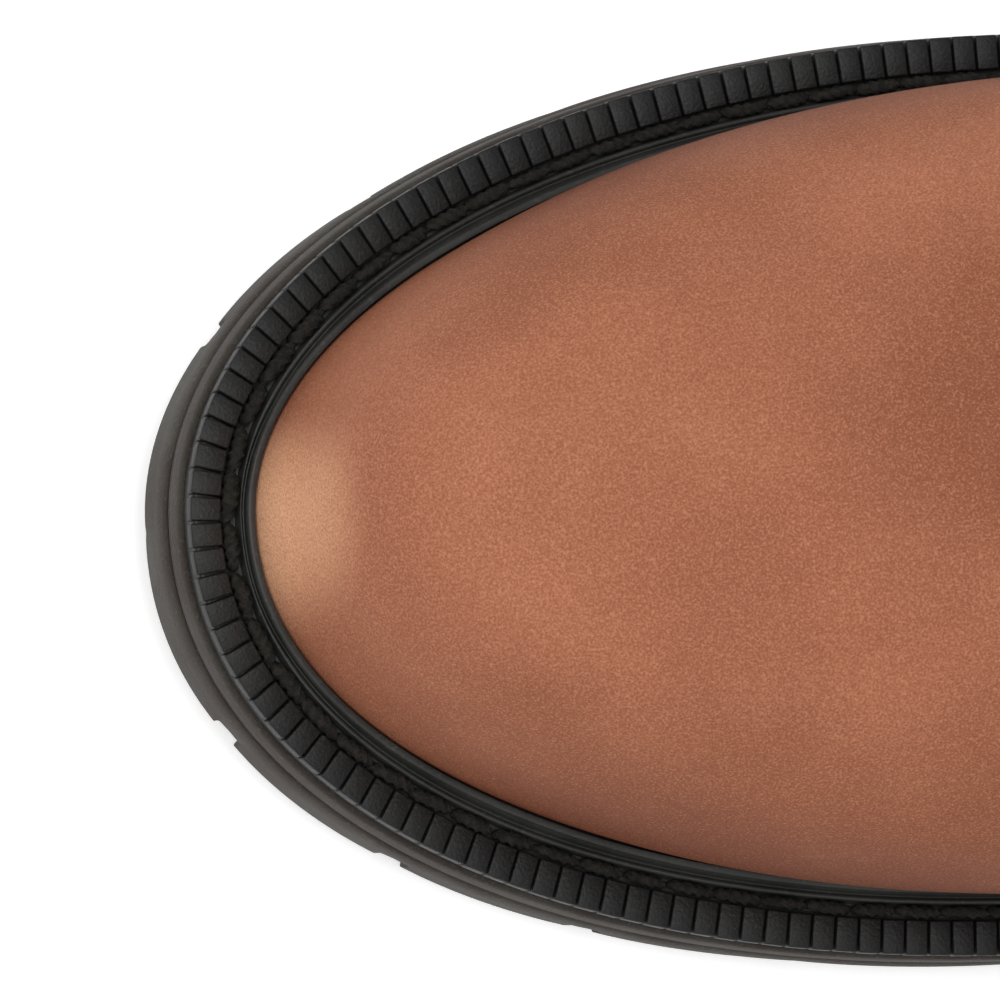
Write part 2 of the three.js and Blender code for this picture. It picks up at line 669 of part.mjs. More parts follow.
// The toe cap lies between the vamp and the lining, and is cut off square behind the toes.
const hiddenLow = 0.12; // lower edge of the stiffening pieces, in hoops
const capEndX = upperToeX + TOE_CAP_LENGTH;
const hiddenLayer = (thickness) =>
  shell(shaftOut, shaftOut - thickness).subtract(upTo(() => hiddenLow));
place("steel_toe_cap", geometryOf(
  hiddenLayer(TOE_STEEL).intersect(slice(-FAR, capEndX)),
), STEEL);
place("toe_cap_edge_strip", geometryOf(
  hiddenLayer(TOE_STEEL - GAP).intersect(slice(capEndX + GAP, capEndX + GAP + CAP_STRIP)),
), FOAM);
place("heel_stiffener", geometryOf(
  hiddenLayer(STIFFENER)
    .intersect(upTo((turn) => coverTop(turn) - LAP - 0.1))
    .intersect(sector(() => 0.37, () => 0.63)),
), BOARD);

// Collar binding: a folded strip over the top edge of the shaft and its lining.
const bindingOut = shaftOut + GAP + BINDING_WALL;
const bindingIn = liningIn - GAP - BINDING_WALL;
const collarRail = (offset, lift) => hoopRail(() => TOP, offset).map((p) => p.setZ(p.z + lift));
const hemRail = (offset) => hoopRail(() => bindingEdge, offset);
const bindingTop = GAP + BINDING_WALL;
place("collar_binding", ring([
  hemRail(bindingOut),
  collarRail(bindingOut, GAP),
  collarRail(bindingOut - BINDING_WALL, bindingTop),
  collarRail(bindingIn + BINDING_WALL, bindingTop),
  collarRail(bindingIn, GAP),
  hemRail(bindingIn),
  hemRail(bindingIn + BINDING_WALL),
  collarRail(bindingIn + BINDING_WALL, GAP),
  collarRail(bindingOut - BINDING_WALL, GAP),
  hemRail(bindingOut - BINDING_WALL),
]), BLACK_RUBBER);

/** A bead in the slot between the shaft's front and back, from the vamp up to the binding. */
function piping(mirror) {
  const clear = 0.1;
  const steps = 12;
  const line = Array.from({ length: steps + 1 }, (_, i) => {
    const height = lerp(COVER_SIDE + clear, bindingEdge - clear / 2, i / steps);
    return skin(mirror * seam(height, 0), height, shaftOut - PIPING_RADIUS / 2);
  });
  const section = new THREE.Shape().absarc(0, 0, PIPING_RADIUS, 0, 2 * Math.PI);
  const extrudePath = new THREE.CatmullRomCurve3(line);
  return new THREE.ExtrudeGeometry(section, { extrudePath, steps: 16, curveSegments: 4 });
}

// Pull loops: webbing folded double and sewn to the outside, with its free end over the collar.
const tailIn = bindingOut + GAP;
const tailThickness = 2 * WEBBING;
const hingeHeight = COLLAR_HEIGHT + bindingTop + GAP + tailThickness / 2;
const hingeX = upper(0.25, TOP).x;
const hingeY = upper(0.25, TOP).y + tailIn + tailThickness / 2;
const collarStep = 0.02;
const collarPerTurn = 2 * upper(0.25 + collarStep, TOP).distanceTo(upper(0.25, TOP)) / (2 * collarStep);
const tailHalf = LOOP_WIDTH / 2 / collarPerTurn;

function loopTail(mirror) {
  const centre = mirror * 0.25;
  return patch({
    columns: 4,
    rows: 3,
    from: () => centre - tailHalf,
    to: () => centre + tailHalf,
    low: TOP - LOOP_TAIL / topHoopRise,
    high: TOP + bindingTop / topHoopRise,
    outer: tailIn + tailThickness,
    inner: tailIn,
  });
}

/** The loop seen along the collar: two plies that part at the hinge and meet over a round crown. */
function freeLoop() {
  const crown = LOOP_HEIGHT - LOOP_OPENING - WEBBING;
  const shape = new THREE.Shape();
  shape.moveTo(-tailThickness / 2, 0);
  shape.absarc(0, 0, tailThickness / 2, Math.PI, 2 * Math.PI);
  shape.absarc(0, crown, LOOP_OPENING + WEBBING, 0, Math.PI);
  const hole = new THREE.Path();
  hole.moveTo(0, 1.6 * tailThickness);
  hole.lineTo(LOOP_OPENING, crown);
  hole.absarc(0, crown, LOOP_OPENING, 0, Math.PI);
  shape.holes.push(hole);
  const loop = new THREE.ExtrudeGeometry(shape, {
    depth: LOOP_WIDTH, bevelEnabled: false, curveSegments: 8,
  });
  loop.translate(0, 0, -LOOP_WIDTH / 2);
  loop.rotateX(Math.PI / 2).rotateZ(Math.PI / 2);
  return loop;
}

for (const [side, mirror] of [["lateral", 1], ["medial", -1]]) {
  place(`side_piping_${side}`, piping(mirror), BLACK_RUBBER);
  place(`pull_loop_tail_${side}`, loopTail(mirror), THREAD);
  place(`pull_loop_${side}`, freeLoop(), THREAD)
    .position.set(hingeX, mirror * hingeY, hingeHeight);
}

export default group;
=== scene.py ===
"""A right-foot pull-on work boot with a steel toe cap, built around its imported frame."""

from __future__ import annotations

import json
import logging
import math
from collections.abc import Callable, Sequence
from dataclasses import dataclass, field
from enum import Enum
from typing import ClassVar

import bmesh
import bpy
import numpy as np
from mathutils import Matrix, Vector

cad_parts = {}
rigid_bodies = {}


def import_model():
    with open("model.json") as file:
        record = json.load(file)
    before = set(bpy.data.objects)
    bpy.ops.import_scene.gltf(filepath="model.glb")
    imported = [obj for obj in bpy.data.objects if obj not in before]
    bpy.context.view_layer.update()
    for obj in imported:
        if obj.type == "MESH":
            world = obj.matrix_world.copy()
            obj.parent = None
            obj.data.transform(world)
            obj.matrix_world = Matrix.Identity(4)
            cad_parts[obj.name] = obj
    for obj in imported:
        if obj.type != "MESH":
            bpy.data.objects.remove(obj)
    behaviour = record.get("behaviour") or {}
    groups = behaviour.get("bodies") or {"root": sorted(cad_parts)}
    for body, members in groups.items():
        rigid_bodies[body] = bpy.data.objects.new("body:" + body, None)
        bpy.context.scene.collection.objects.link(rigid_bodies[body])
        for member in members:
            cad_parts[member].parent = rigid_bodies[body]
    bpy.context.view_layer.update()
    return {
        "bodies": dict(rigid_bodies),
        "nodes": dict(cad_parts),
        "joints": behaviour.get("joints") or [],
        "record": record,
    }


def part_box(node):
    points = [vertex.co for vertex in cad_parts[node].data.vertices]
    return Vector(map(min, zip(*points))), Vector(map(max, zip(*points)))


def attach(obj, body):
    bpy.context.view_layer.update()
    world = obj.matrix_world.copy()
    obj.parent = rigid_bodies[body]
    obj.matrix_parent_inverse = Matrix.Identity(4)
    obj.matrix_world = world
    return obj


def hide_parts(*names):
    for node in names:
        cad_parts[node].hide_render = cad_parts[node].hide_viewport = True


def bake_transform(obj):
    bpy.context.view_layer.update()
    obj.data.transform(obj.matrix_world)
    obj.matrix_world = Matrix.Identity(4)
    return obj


LOG = logging.getLogger("boot")
MM = 0.001  # the script measures in millimetres, and meshes are made in metres
MERGE_WITHIN = 2e-6  # metres: points nearer than this become one
THINNEST = 1e-7  # metres: faces thinner than this are dissolved
LIFT_INSET = 0.4  # how far the top lift lies in from the outsole's edge
UPRIGHT = (0.0, 0.0, 1.0)

Array = np.ndarray
Line = Callable[[Array], Array]


# ------------------------------------------------------------------------------ the boot's form
@dataclass(frozen=True)
class Hoop:
    """One loop round the upper, hung between a front and a back point.

    Sizes are shares of the last's own sizes, apart from `past`, which is in millimetres.
    """

    along: float
    rise: float
    past: float
    climb: float
    half: float
    oval: float
    blunt: float
    girth: float


@dataclass
class Last:
    """The form that every part of the boot follows: sole outline, sole heights and upper skin.

    A turn goes once round the boot from the tip of the toe, over the outer side. A height on the
    upper counts hoops, from the feather line at 0 to the collar at `top`.
    """

    length: float
    ball_width: float
    heel_width: float
    collar_height: float
    heel_length: float = 92.0
    toe_swing: float = 0.6
    ball_at: tuple[float, float] = (0.38, 0.373)
    fore_power: tuple[float, float] = (2.0, 2.14)
    waist_dip: tuple[float, float] = (4.0, 10.0)
    flange_tip: float = 8.8
    flange_ball: float = 10.1
    flange_heel: float = 7.4
    tip_reach: float = 45.0
    collar_width: float = 102.0
    toe_box_rise: float = 49.0
    instep_rise: float = 131.0
    lug_depth: float = 5.0
    heel_pitch: float = 17.0
    toe_spring: float = 9.0
    feather_height: float = 12.5
    hoops: tuple[Hoop, ...] = ()

    def __post_init__(self) -> None:
        """Works out what the other methods look up."""
        self.toe_x = -self.length / 2
        self.heel_x = self.length / 2
        self.top = len(self.hoops) - 1
        self._sides = [self._trace(side) for side in (1, -1)]
        self.upper_toe_x = self.toe_x + self.flange_tip
        self.upper_length = self.length - self.flange_tip - self.flange_heel
        self.upper_heel_x = self.upper_toe_x + self.upper_length
        self.toe_z = float(self.tread(np.array(self.upper_toe_x))) + self.feather_height
        self.heel_z = float(self.tread(np.array(self.upper_heel_x))) + self.feather_height
        leg = self.collar_height - self.toe_z - self.instep_rise
        stages = (0.0, self.toe_box_rise, self.instep_rise, self.instep_rise + leg)
        self.top_rise = leg * (self.hoops[-1].rise - self.hoops[-2].rise)
        self._values = {
            "front_x": [self.upper_toe_x + h.along * self.upper_length for h in self.hoops],
            "front_z": [self.toe_z + float(np.interp(h.rise, range(4), stages)) for h in self.hoops],
            "back_x": [self.upper_heel_x + h.past for h in self.hoops],
            "back_z": [self.heel_z + h.climb * (self.collar_height - self.heel_z) for h in self.hoops],
            "half": [h.half for h in self.hoops],
            "oval": [h.oval for h in self.hoops],
            "blunt": [h.blunt for h in self.hoops],
            "girth": [h.girth for h in self.hoops],
        }

    def half_width(self, x: Array, side: int) -> Array:
        """Half width of the outsole at x, on the outer side (1) or the inner side (-1).

        Args:
            x: Places along the boot.
            side: 1 for the outer side, -1 for the inner one.

        Returns:
            The half width at each of them.
        """
        which = 0 if side > 0 else 1
        power, dip = self.fore_power[which], self.waist_dip[which]
        ball_x = self.toe_x + self.ball_at[which] * self.length
        seat_x = self.toe_x + 0.815 * self.length
        tip = -self.toe_swing * side
        ball, heel = self.ball_width / 2, self.heel_width / 2
        u = np.clip((ball_x - x) / (ball_x - self.toe_x), 0, 1)
        fore = tip + (ball - tip) * (1 - u**power) ** (1 / power)
        u = np.clip((x - seat_x) / (self.heel_x - seat_x), 0, 1)
        seat = heel * (1 - u**2.3) ** (1 / 2.3)
        u = np.clip((x - ball_x) / (seat_x - ball_x), 0, 1)
        waist = ball + (heel - ball) * smooth(u) - dip * np.sin(math.pi * u) ** 2
        return np.where(x <= ball_x, fore, np.where(x >= seat_x, seat, waist))

    def _trace(self, side: int) -> tuple[Array, Array, Array]:
        """One side of the outline, finely: share of its length, x and y."""
        x = -np.cos(np.linspace(0, math.pi, 4001)) * self.heel_x
        y = side * self.half_width(x, side)
        run = np.concatenate([[0], np.cumsum(np.hypot(np.diff(x), np.diff(y)))])
        self.side_run = float(run[-1])
        return run / run[-1], x, y

    def edge(self, turn: Array, inset: Array | float = 0.0) -> Array:
        """Points of the outline moved in by `inset`, as an array of x and y.

        Args:
            turn: Places round the boot.
            inset: Distance in from the outsole's edge.

        Returns:
            Points, as x and y.
        """
        turn = np.asarray(turn, float)
        step = 2e-4
        ahead, behind = self._edge(turn + step), self._edge(turn - step)
        along = ahead - behind
        along /= np.linalg.norm(along, axis=-1, keepdims=True)
        outward = np.stack([-along[..., 1], along[..., 0]], axis=-1)
        return self._edge(turn) - outward * np.asarray(inset)[..., None]

    def _edge(self, turn: Array) -> Array:
        """Points of the outline itself."""
        turn = np.mod(turn, 1.0)
        share = 1 - np.abs(1 - 2 * turn)
        (s0, x0, y0), (s1, x1, y1) = self._sides
        outer = np.stack([np.interp(share, s0, x0), np.interp(share, s0, y0)], axis=-1)
        inner = np.stack([np.interp(share, s1, x1), np.interp(share, s1, y1)], axis=-1)
        return np.where((turn <= 0.5)[..., None], outer, inner)

    def outward(self, turn: Array) -> Array:
        """Level directions straight out from the outline, as an array of x, y and 0."""
        flat = self.edge(turn, -1.0) - self.edge(turn, 0.0)
        return np.concatenate([flat, np.zeros((len(flat), 1))], axis=1)

    def flange(self, turn: Array) -> Array:
        """How far the welt stands out from the upper."""
        x = self._edge(np.asarray(turn, float))[..., 0]
        tip = np.clip(1 - (x - self.toe_x) / self.tip_reach, 0, 1) ** 2
        return self.side_flange(turn) + (self.flange_tip - self.flange_ball) * tip

    def side_flange(self, turn: Array) -> Array:
        """The same without its narrowing at the tip, which the stitch line keeps to."""
        x = self._edge(np.asarray(turn, float))[..., 0]
        blend = smooth(np.clip((x / self.length + 0.15) / 0.35, 0, 1))
        return self.flange_ball + (self.flange_heel - self.flange_ball) * blend

    def tread(self, x: Array) -> Array:
        """Height of the tread root over the ground: toe spring, flat ball, rise to the heel."""
        from_x = self.toe_x + 0.225 * self.length
        spring = self.toe_spring * np.clip((from_x - x) / (from_x - self.toe_x), 0, None) ** 2
        start = self.toe_x + 0.354 * self.length
        breast = self.heel_x - self.heel_length + 0.01 * self.length
        rise = self.heel_pitch * smooth(np.clip((x - start) / (breast - start), 0, 1))
        return self.lug_depth + spring + rise

    def sole_line(self, turn: Array, inset: Array | float, height: Array | float) -> Array:
        """Points over the tread root, at an inset from the outsole's edge."""
        xy = self.edge(turn, inset)
        z = self.tread(xy[..., 0]) + height
        return np.concatenate([xy, np.broadcast_to(z, xy.shape[:-1])[..., None]], axis=-1)

    def _hoop(self, key: str, height: Array) -> Array:
        """A hoop value at heights between the hoops, smooth through its neighbours."""
        values = np.array(self._values[key])
        last = np.clip(np.floor(height).astype(int), 0, self.top - 1)
        u = height - last
        a, b, c, d = (values[np.clip(last + k, 0, self.top)] for k in (-1, 0, 1, 2))
        start, end = (c - a) / 2, (d - b) / 2
        return b + u * (start + u * (3 * (c - b) - 2 * start - end + u * (2 * (b - c) + start + end)))

    def upper(self, turn: Array, height: Array) -> Array:
        """Points on the outside of the upper.

        Args:
            turn: Places round the boot.
            height: Heights on the upper, in hoops.

        Returns:
            Points, as x, y and z.
        """
        turn, height = np.broadcast_arrays(np.asarray(turn, float), np.asarray(height, float))
        at = {key: self._hoop(key, height) for key in self._values}
        foot = self.edge(turn, self.flange(turn))
        wide = np.sin(2 * math.pi * turn)
        oval_y = at["half"] * self.collar_width / 2 * np.sign(wide) * np.abs(wide) ** at["blunt"]
        oval = at["oval"]
        on_foot = (foot[..., 0] - self.upper_toe_x) / self.upper_length
        along = on_foot + ((1 - np.cos(2 * math.pi * turn)) / 2 - on_foot) * oval
        line_z = at["front_z"] + (at["back_z"] - at["front_z"]) * along
        sole_z = self.tread(foot[..., 0]) + self.feather_height
        sag = sole_z - (self.toe_z + (self.heel_z - self.toe_z) * along)
        fade = (1 - smooth(np.clip(height / 7, 0, 1))) * (1 - oval)
        foot_y = foot[..., 1] * at["girth"]
        return np.stack(
            [
                at["front_x"] + (at["back_x"] - at["front_x"]) * along,
                foot_y + (oval_y - foot_y) * oval,
                line_z + sag * fade,
            ],
            axis=-1,
        )

    def skin(self, turn: Array, height: Array, offset: Array | float = 0.0) -> Array:
        """Points of the upper moved out along its normal, or in where `offset` is negative.

        Above the collar and below the feather line the skin goes straight up and down.

        Args:
            turn: Places round the boot.
            height: Heights on the upper, in hoops.
            offset: Distance out from the skin.

        Returns:
            Points, as x, y and z.
        """
        turn, height = np.broadcast_arrays(np.asarray(turn, float), np.asarray(height, float))
        inside = np.clip(height, 0, self.top)
        step, rise = 0.006, 0.04
        around = self.upper(turn + step, inside) - self.upper(turn - step, inside)
        up = self.upper(turn, inside + rise) - self.upper(turn, inside - rise)
        normal = np.cross(up, around)
        normal /= np.linalg.norm(normal, axis=-1, keepdims=True)
        point = self.upper(turn, inside) + normal * np.asarray(offset)[..., None]
        point[..., 2] += (height - inside) * self.top_rise
        return point


def smooth(u: Array) -> Array:
    """Eases from 0 to 1."""
    return u * u * (3 - 2 * u)


# `rise` counts stages: 0 to 1 up the toe box, 1 to 2 up the instep, 2 to 3 up the leg.
BOOT_HOOPS = (
    Hoop(0.000, 0.00, 0.0, 0.000, 0.96, 0.00, 1.00, 1.000),
    Hoop(0.004, 0.24, 1.6, 0.011, 0.96, 0.00, 1.00, 1.040),
    Hoop(0.012, 0.57, 2.6, 0.024, 0.94, 0.00, 1.00, 1.040),
    Hoop(0.046, 0.85, 3.2, 0.042, 0.93, 0.03, 1.00, 1.020),
    Hoop(0.108, 1.00, 3.6, 0.064, 0.91, 0.09, 1.00, 0.995),
    Hoop(0.186, 1.07, 3.6, 0.090, 0.90, 0.20, 0.95, 0.970),
    Hoop(0.289, 1.16, 3.1, 0.125, 0.87, 0.35, 0.90, 0.960),
    Hoop(0.375, 1.29, 2.1, 0.170, 0.84, 0.50, 0.87, 0.950),
    Hoop(0.461, 1.48, 0.0, 0.228, 0.80, 0.70, 0.85, 0.950),
    Hoop(0.522, 1.73, -3.0, 0.316, 0.77, 0.87, 0.87, 0.950),
    Hoop(0.548, 2.00, -5.5, 0.456, 0.79, 1.00, 0.90, 1.000),
    Hoop(0.554, 2.26, -6.0, 0.610, 0.86, 1.00, 0.95, 1.000),
    Hoop(0.547, 2.63, -4.5, 0.810, 0.94, 1.00, 1.00, 1.000),
    Hoop(0.534, 3.00, -2.0, 1.000, 1.00, 1.00, 1.00, 1.000),
)


# ------------------------------------------------------------------------------ meshes
def grid_faces(rows: int, columns: int, wrap_rows: bool = False, wrap_columns: bool = False) -> Array:
    """Quads over a grid of points that are numbered row by row."""
    r = np.arange(rows if wrap_rows else rows - 1)[:, None]
    c = np.arange(columns if wrap_columns else columns - 1)[None, :]
    nr, nc = (r + 1) % rows, (c + 1) % columns
    corners = (r * columns + c, r * columns + nc, nr * columns + nc, nr * columns + c)
    return np.stack(np.broadcast_arrays(*corners), axis=-1).reshape(-1, 4)


def volume_of(points: Array, faces: Array) -> float:
    """Signed volume inside quads, which is negative where they are inside out."""
    a, b, c, d = (points[faces[:, k]] for k in range(4))
    return float(np.sum(a * np.cross(b, c)) + np.sum(a * np.cross(c, d))) / 6


@dataclass
class Shape:
    """Points in millimetres and the faces over them, gathered from one or more closed parts."""

    points: list[Array] = field(default_factory=list)
    faces: list[list[int]] = field(default_factory=list)
    uvs: list[Array] = field(default_factory=list)
    count: int = 0

    def add(
        self, points: Array, faces: Array, uv: Array | None = None, caps: Sequence[Sequence[int]] = (),
    ) -> None:
        """Adds one closed part, turned so that its faces point outwards.

        Args:
            points: Its points, in millimetres.
            faces: Its quads.
            uv: A place on the cloth or rubber for each point, in metres.
            caps: Faces of more than four corners, as lists of points.
        """
        flat = points.reshape(-1, 3)
        quads = np.asarray(faces)
        fans = [[cap[0], cap[k], cap[k + 1], cap[k + 1]] for cap in caps for k in range(1, len(cap) - 1)]
        whole = np.concatenate([quads, np.array(fans)]) if fans else quads
        inside_out = volume_of(flat, whole) < 0
        step = -1 if inside_out else 1
        self.faces += [list(f)[::step] for f in (quads + self.count).tolist()]
        self.faces += [[i + self.count for i in cap][::step] for cap in caps]
        self.points.append(flat)
        self.uvs.append(np.zeros((len(flat), 2)) if uv is None else uv.reshape(-1, 2))
        self.count += len(flat)

    def make(self, name: str, sharp: float = 38.0) -> bpy.types.Object:
        """Makes the object, in metres.

        Args:
            name: The piece's name.
            sharp: Edges that turn more than this many degrees stay sharp.

        Returns:
            The object, in the scene.
        """
        mesh = bpy.data.meshes.new(name)
        mesh.from_pydata((np.concatenate(self.points) * MM).tolist(), [], self.faces)
        uv = np.concatenate(self.uvs)
        layer = mesh.uv_layers.new(name="cloth")
        corner = np.zeros(len(mesh.loops), np.int32)
        mesh.loops.foreach_get("vertex_index", corner)
        layer.data.foreach_set("uv", uv[corner].astype(np.float32).ravel())
        work = bmesh.new()
        work.from_mesh(mesh)
        bmesh.ops.remove_doubles(work, verts=work.verts, dist=MERGE_WITHIN)
        bmesh.ops.dissolve_degenerate(work, edges=work.edges, dist=THINNEST)
        bmesh.ops.recalc_face_normals(work, faces=work.faces)
        work.to_mesh(mesh)
        work.free()
        mesh.shade_smooth()
        mesh.set_sharp_from_angle(angle=math.radians(sharp))
        made = bpy.data.objects.new(name, mesh)
        bpy.context.scene.collection.objects.link(made)
        return made


def rounded(
    rails: Sequence[Array], reach: Sequence[float], steps: int = 3, closed: bool = True,
) -> list[Array]:
    """Rounds the corners between rails, which are lines of points round the boot.

    Args:
        rails: The corners of a section, each swept into a line.
        reach: How far back along its two sides each corner's curve starts, in millimetres.
        steps: Pieces in each curve.
        closed: Whether the last rail joins the first.

    Returns:
        The rails, with those of the curves between them.
    """
    most = 0.48  # no curve takes more than this share of a side
    out: list[Array] = []
    for k, rail in enumerate(rails):
        if reach[k] == 0 or (not closed and k in (0, len(rails) - 1)):
            out.append(rail)
            continue
        before, after = rails[k - 1] - rail, rails[(k + 1) % len(rails)] - rail
        size_b = np.linalg.norm(before, axis=-1, keepdims=True)
        size_a = np.linalg.norm(after, axis=-1, keepdims=True)
        start = rail + before * np.minimum(reach[k] / np.maximum(size_b, 1e-6), most)
        end = rail + after * np.minimum(reach[k] / np.maximum(size_a, 1e-6), most)
        for t in np.linspace(0, 1, steps + 1):
            out.append(start * (1 - t) ** 2 + rail * 2 * t * (1 - t) + end * t * t)
    return out


def swept_ring(name: str, rails: Sequence[Array], sharp: float = 38.0) -> bpy.types.Object:
    """A closed ring round the boot, through the rails of its section."""
    points = np.stack(rails)
    shape = Shape()
    shape.add(points, grid_faces(points.shape[0], points.shape[1], True, True), run_uv(points))
    return shape.make(name, sharp)


def run_uv(points: Array) -> Array:
    """Distances along and across a grid of points, in metres, for patterns that follow it."""
    across = np.linalg.norm(np.diff(points, axis=0), axis=-1).mean(axis=1)
    along = np.linalg.norm(np.diff(points, axis=1), axis=-1).mean(axis=0)
    v = np.concatenate([[0], np.cumsum(across)]) * MM
    u = np.concatenate([[0], np.cumsum(along)]) * MM
    return np.stack(np.broadcast_arrays(u[None, :], v[:, None]), axis=-1)


def plate(shape: Shape, rails: Sequence[Array], across: int = 8) -> None:
    """Adds a layer of the sole: its edge swept round, closed under and over by lines across.

    Args:
        shape: What the layer is added to.
        rails: Lines round its edge, from its underside up.
        across: Rows of faces across its two sides.
    """
    points = np.stack(rails)
    sections, turns = points.shape[:2]
    half = turns // 2
    parts = [points.reshape(-1, 3)]
    faces = [grid_faces(sections, turns, False, True)]
    count = points.size // 3
    share = np.linspace(0, 1, across + 1)[:, None, None]
    for rail, under in ((points[0], True), (points[-1], False)):
        outer, inner = rail[: half + 1], rail[(-np.arange(half + 1)) % turns]
        cap = outer * (1 - share) + inner * share
        parts.append(cap.reshape(-1, 3))
        quads = grid_faces(across + 1, half + 1) + count
        faces.append(quads if under else quads[:, ::-1])
        count += cap.size // 3
    shape.add(np.concatenate(parts), np.concatenate(faces))


# ------------------------------------------------------------------------------ node trees
class Nodes:
    """Short ways to add and join nodes in one tree."""

    def __init__(self, tree: bpy.types.NodeTree) -> None:
        """Keeps the tree that the nodes go into."""
        self.tree = tree

    def add(self, kind: str, values: dict | None = None, **options: object) -> bpy.types.Node:
        """Adds a node.

        Args:
            kind: The node's type.
            values: What goes into its sockets, by name or number: a value, or a socket to link.
            options: Its own settings.

        Returns:
            The node.
        """
        node = self.tree.nodes.new(kind)
        for key, value in options.items():
            setattr(node, key, value)
        for key, value in (values or {}).items():
            self.feed(node.inputs[key], value)
        return node

    def feed(self, socket: bpy.types.NodeSocket, value: object) -> None:
        """Links or sets one socket."""
        if isinstance(value, bpy.types.NodeSocket):
            self.tree.links.new(value, socket)
        else:
            socket.default_value = value

    def sum(self, operation: str, *terms: object) -> bpy.types.NodeSocket:
        """A Math node on up to three terms, such as ADD or MULTIPLY_ADD."""
        kind = "ShaderNodeMath"
        return self.add(kind, dict(enumerate(terms)), operation=operation).outputs[0]

    def vector(self, operation: str, *terms: object) -> bpy.types.NodeSocket:
        """A Vector Math node on up to three terms."""
        return self.add("ShaderNodeVectorMath", dict(enumerate(terms)), operation=operation).outputs[0]

    def scale(self, vector: object, by: object) -> bpy.types.NodeSocket:
        """A vector times one number."""
        return self.add("ShaderNodeVectorMath", {0: vector, "Scale": by}, operation="SCALE").outputs[0]

    def parts(self, vector: object) -> bpy.types.NodeOutputs:
        """The three parts of a vector."""
        return self.add("ShaderNodeSeparateXYZ", {0: vector}).outputs

    def remap(
        self, value: object, low: float, high: float, to_low: float, to_high: float,
    ) -> bpy.types.NodeSocket:
        """Moves a value from one range to another, clamped and eased at both ends."""
        ends = {"Value": value, "From Min": low, "From Max": high, "To Min": to_low, "To Max": to_high}
        return self.add("ShaderNodeMapRange", ends, interpolation_type="SMOOTHSTEP").outputs[0]

    def mix(self, factor: object, a: object, b: object) -> bpy.types.NodeSocket:
        """Mixes two colours."""
        node = self.add("ShaderNodeMix", data_type="RGBA")
        for key, value in ((0, factor), (6, a), (7, b)):
            self.feed(node.inputs[key], value)
        return node.outputs[2]


def colour(red: int, green: int, blue: int) -> tuple[float, float, float, float]:
    """A colour given in the usual 0 to 255 steps, as the linear values that shaders use."""
    parts = [c / 255 for c in (red, green, blue)]
    linear = [c / 12.92 if c <= 0.04045 else ((c + 0.055) / 1.055) ** 2.4 for c in parts]
    return (*linear, 1.0)


def lighter(tone: tuple[int, int, int], by: int) -> tuple[float, float, float, float]:
    """The same colour, some steps lighter."""
    return colour(*(min(255, part + by) for part in tone))


def new_group(name: str, inputs: dict[str, float], outputs: Sequence[str]) -> Nodes:
    """A shader node group with a place as its first input, and numbers after it.

    Args:
        name: The group's name.
        inputs: Its numbers, with what they are when not set.
        outputs: Names of what it puts out.

    Returns:
        The group's tree, ready for nodes.
    """
    tree = bpy.data.node_groups.new(name, "ShaderNodeTree")
    tree.interface.new_socket("Vector", in_out="INPUT", socket_type="NodeSocketVector")
    for key, value in inputs.items():
        made = tree.interface.new_socket(key, in_out="INPUT", socket_type="NodeSocketFloat")
        made.default_value = value
    for key in outputs:
        tree.interface.new_socket(key, in_out="OUTPUT", socket_type="NodeSocketFloat")
    return Nodes(tree)


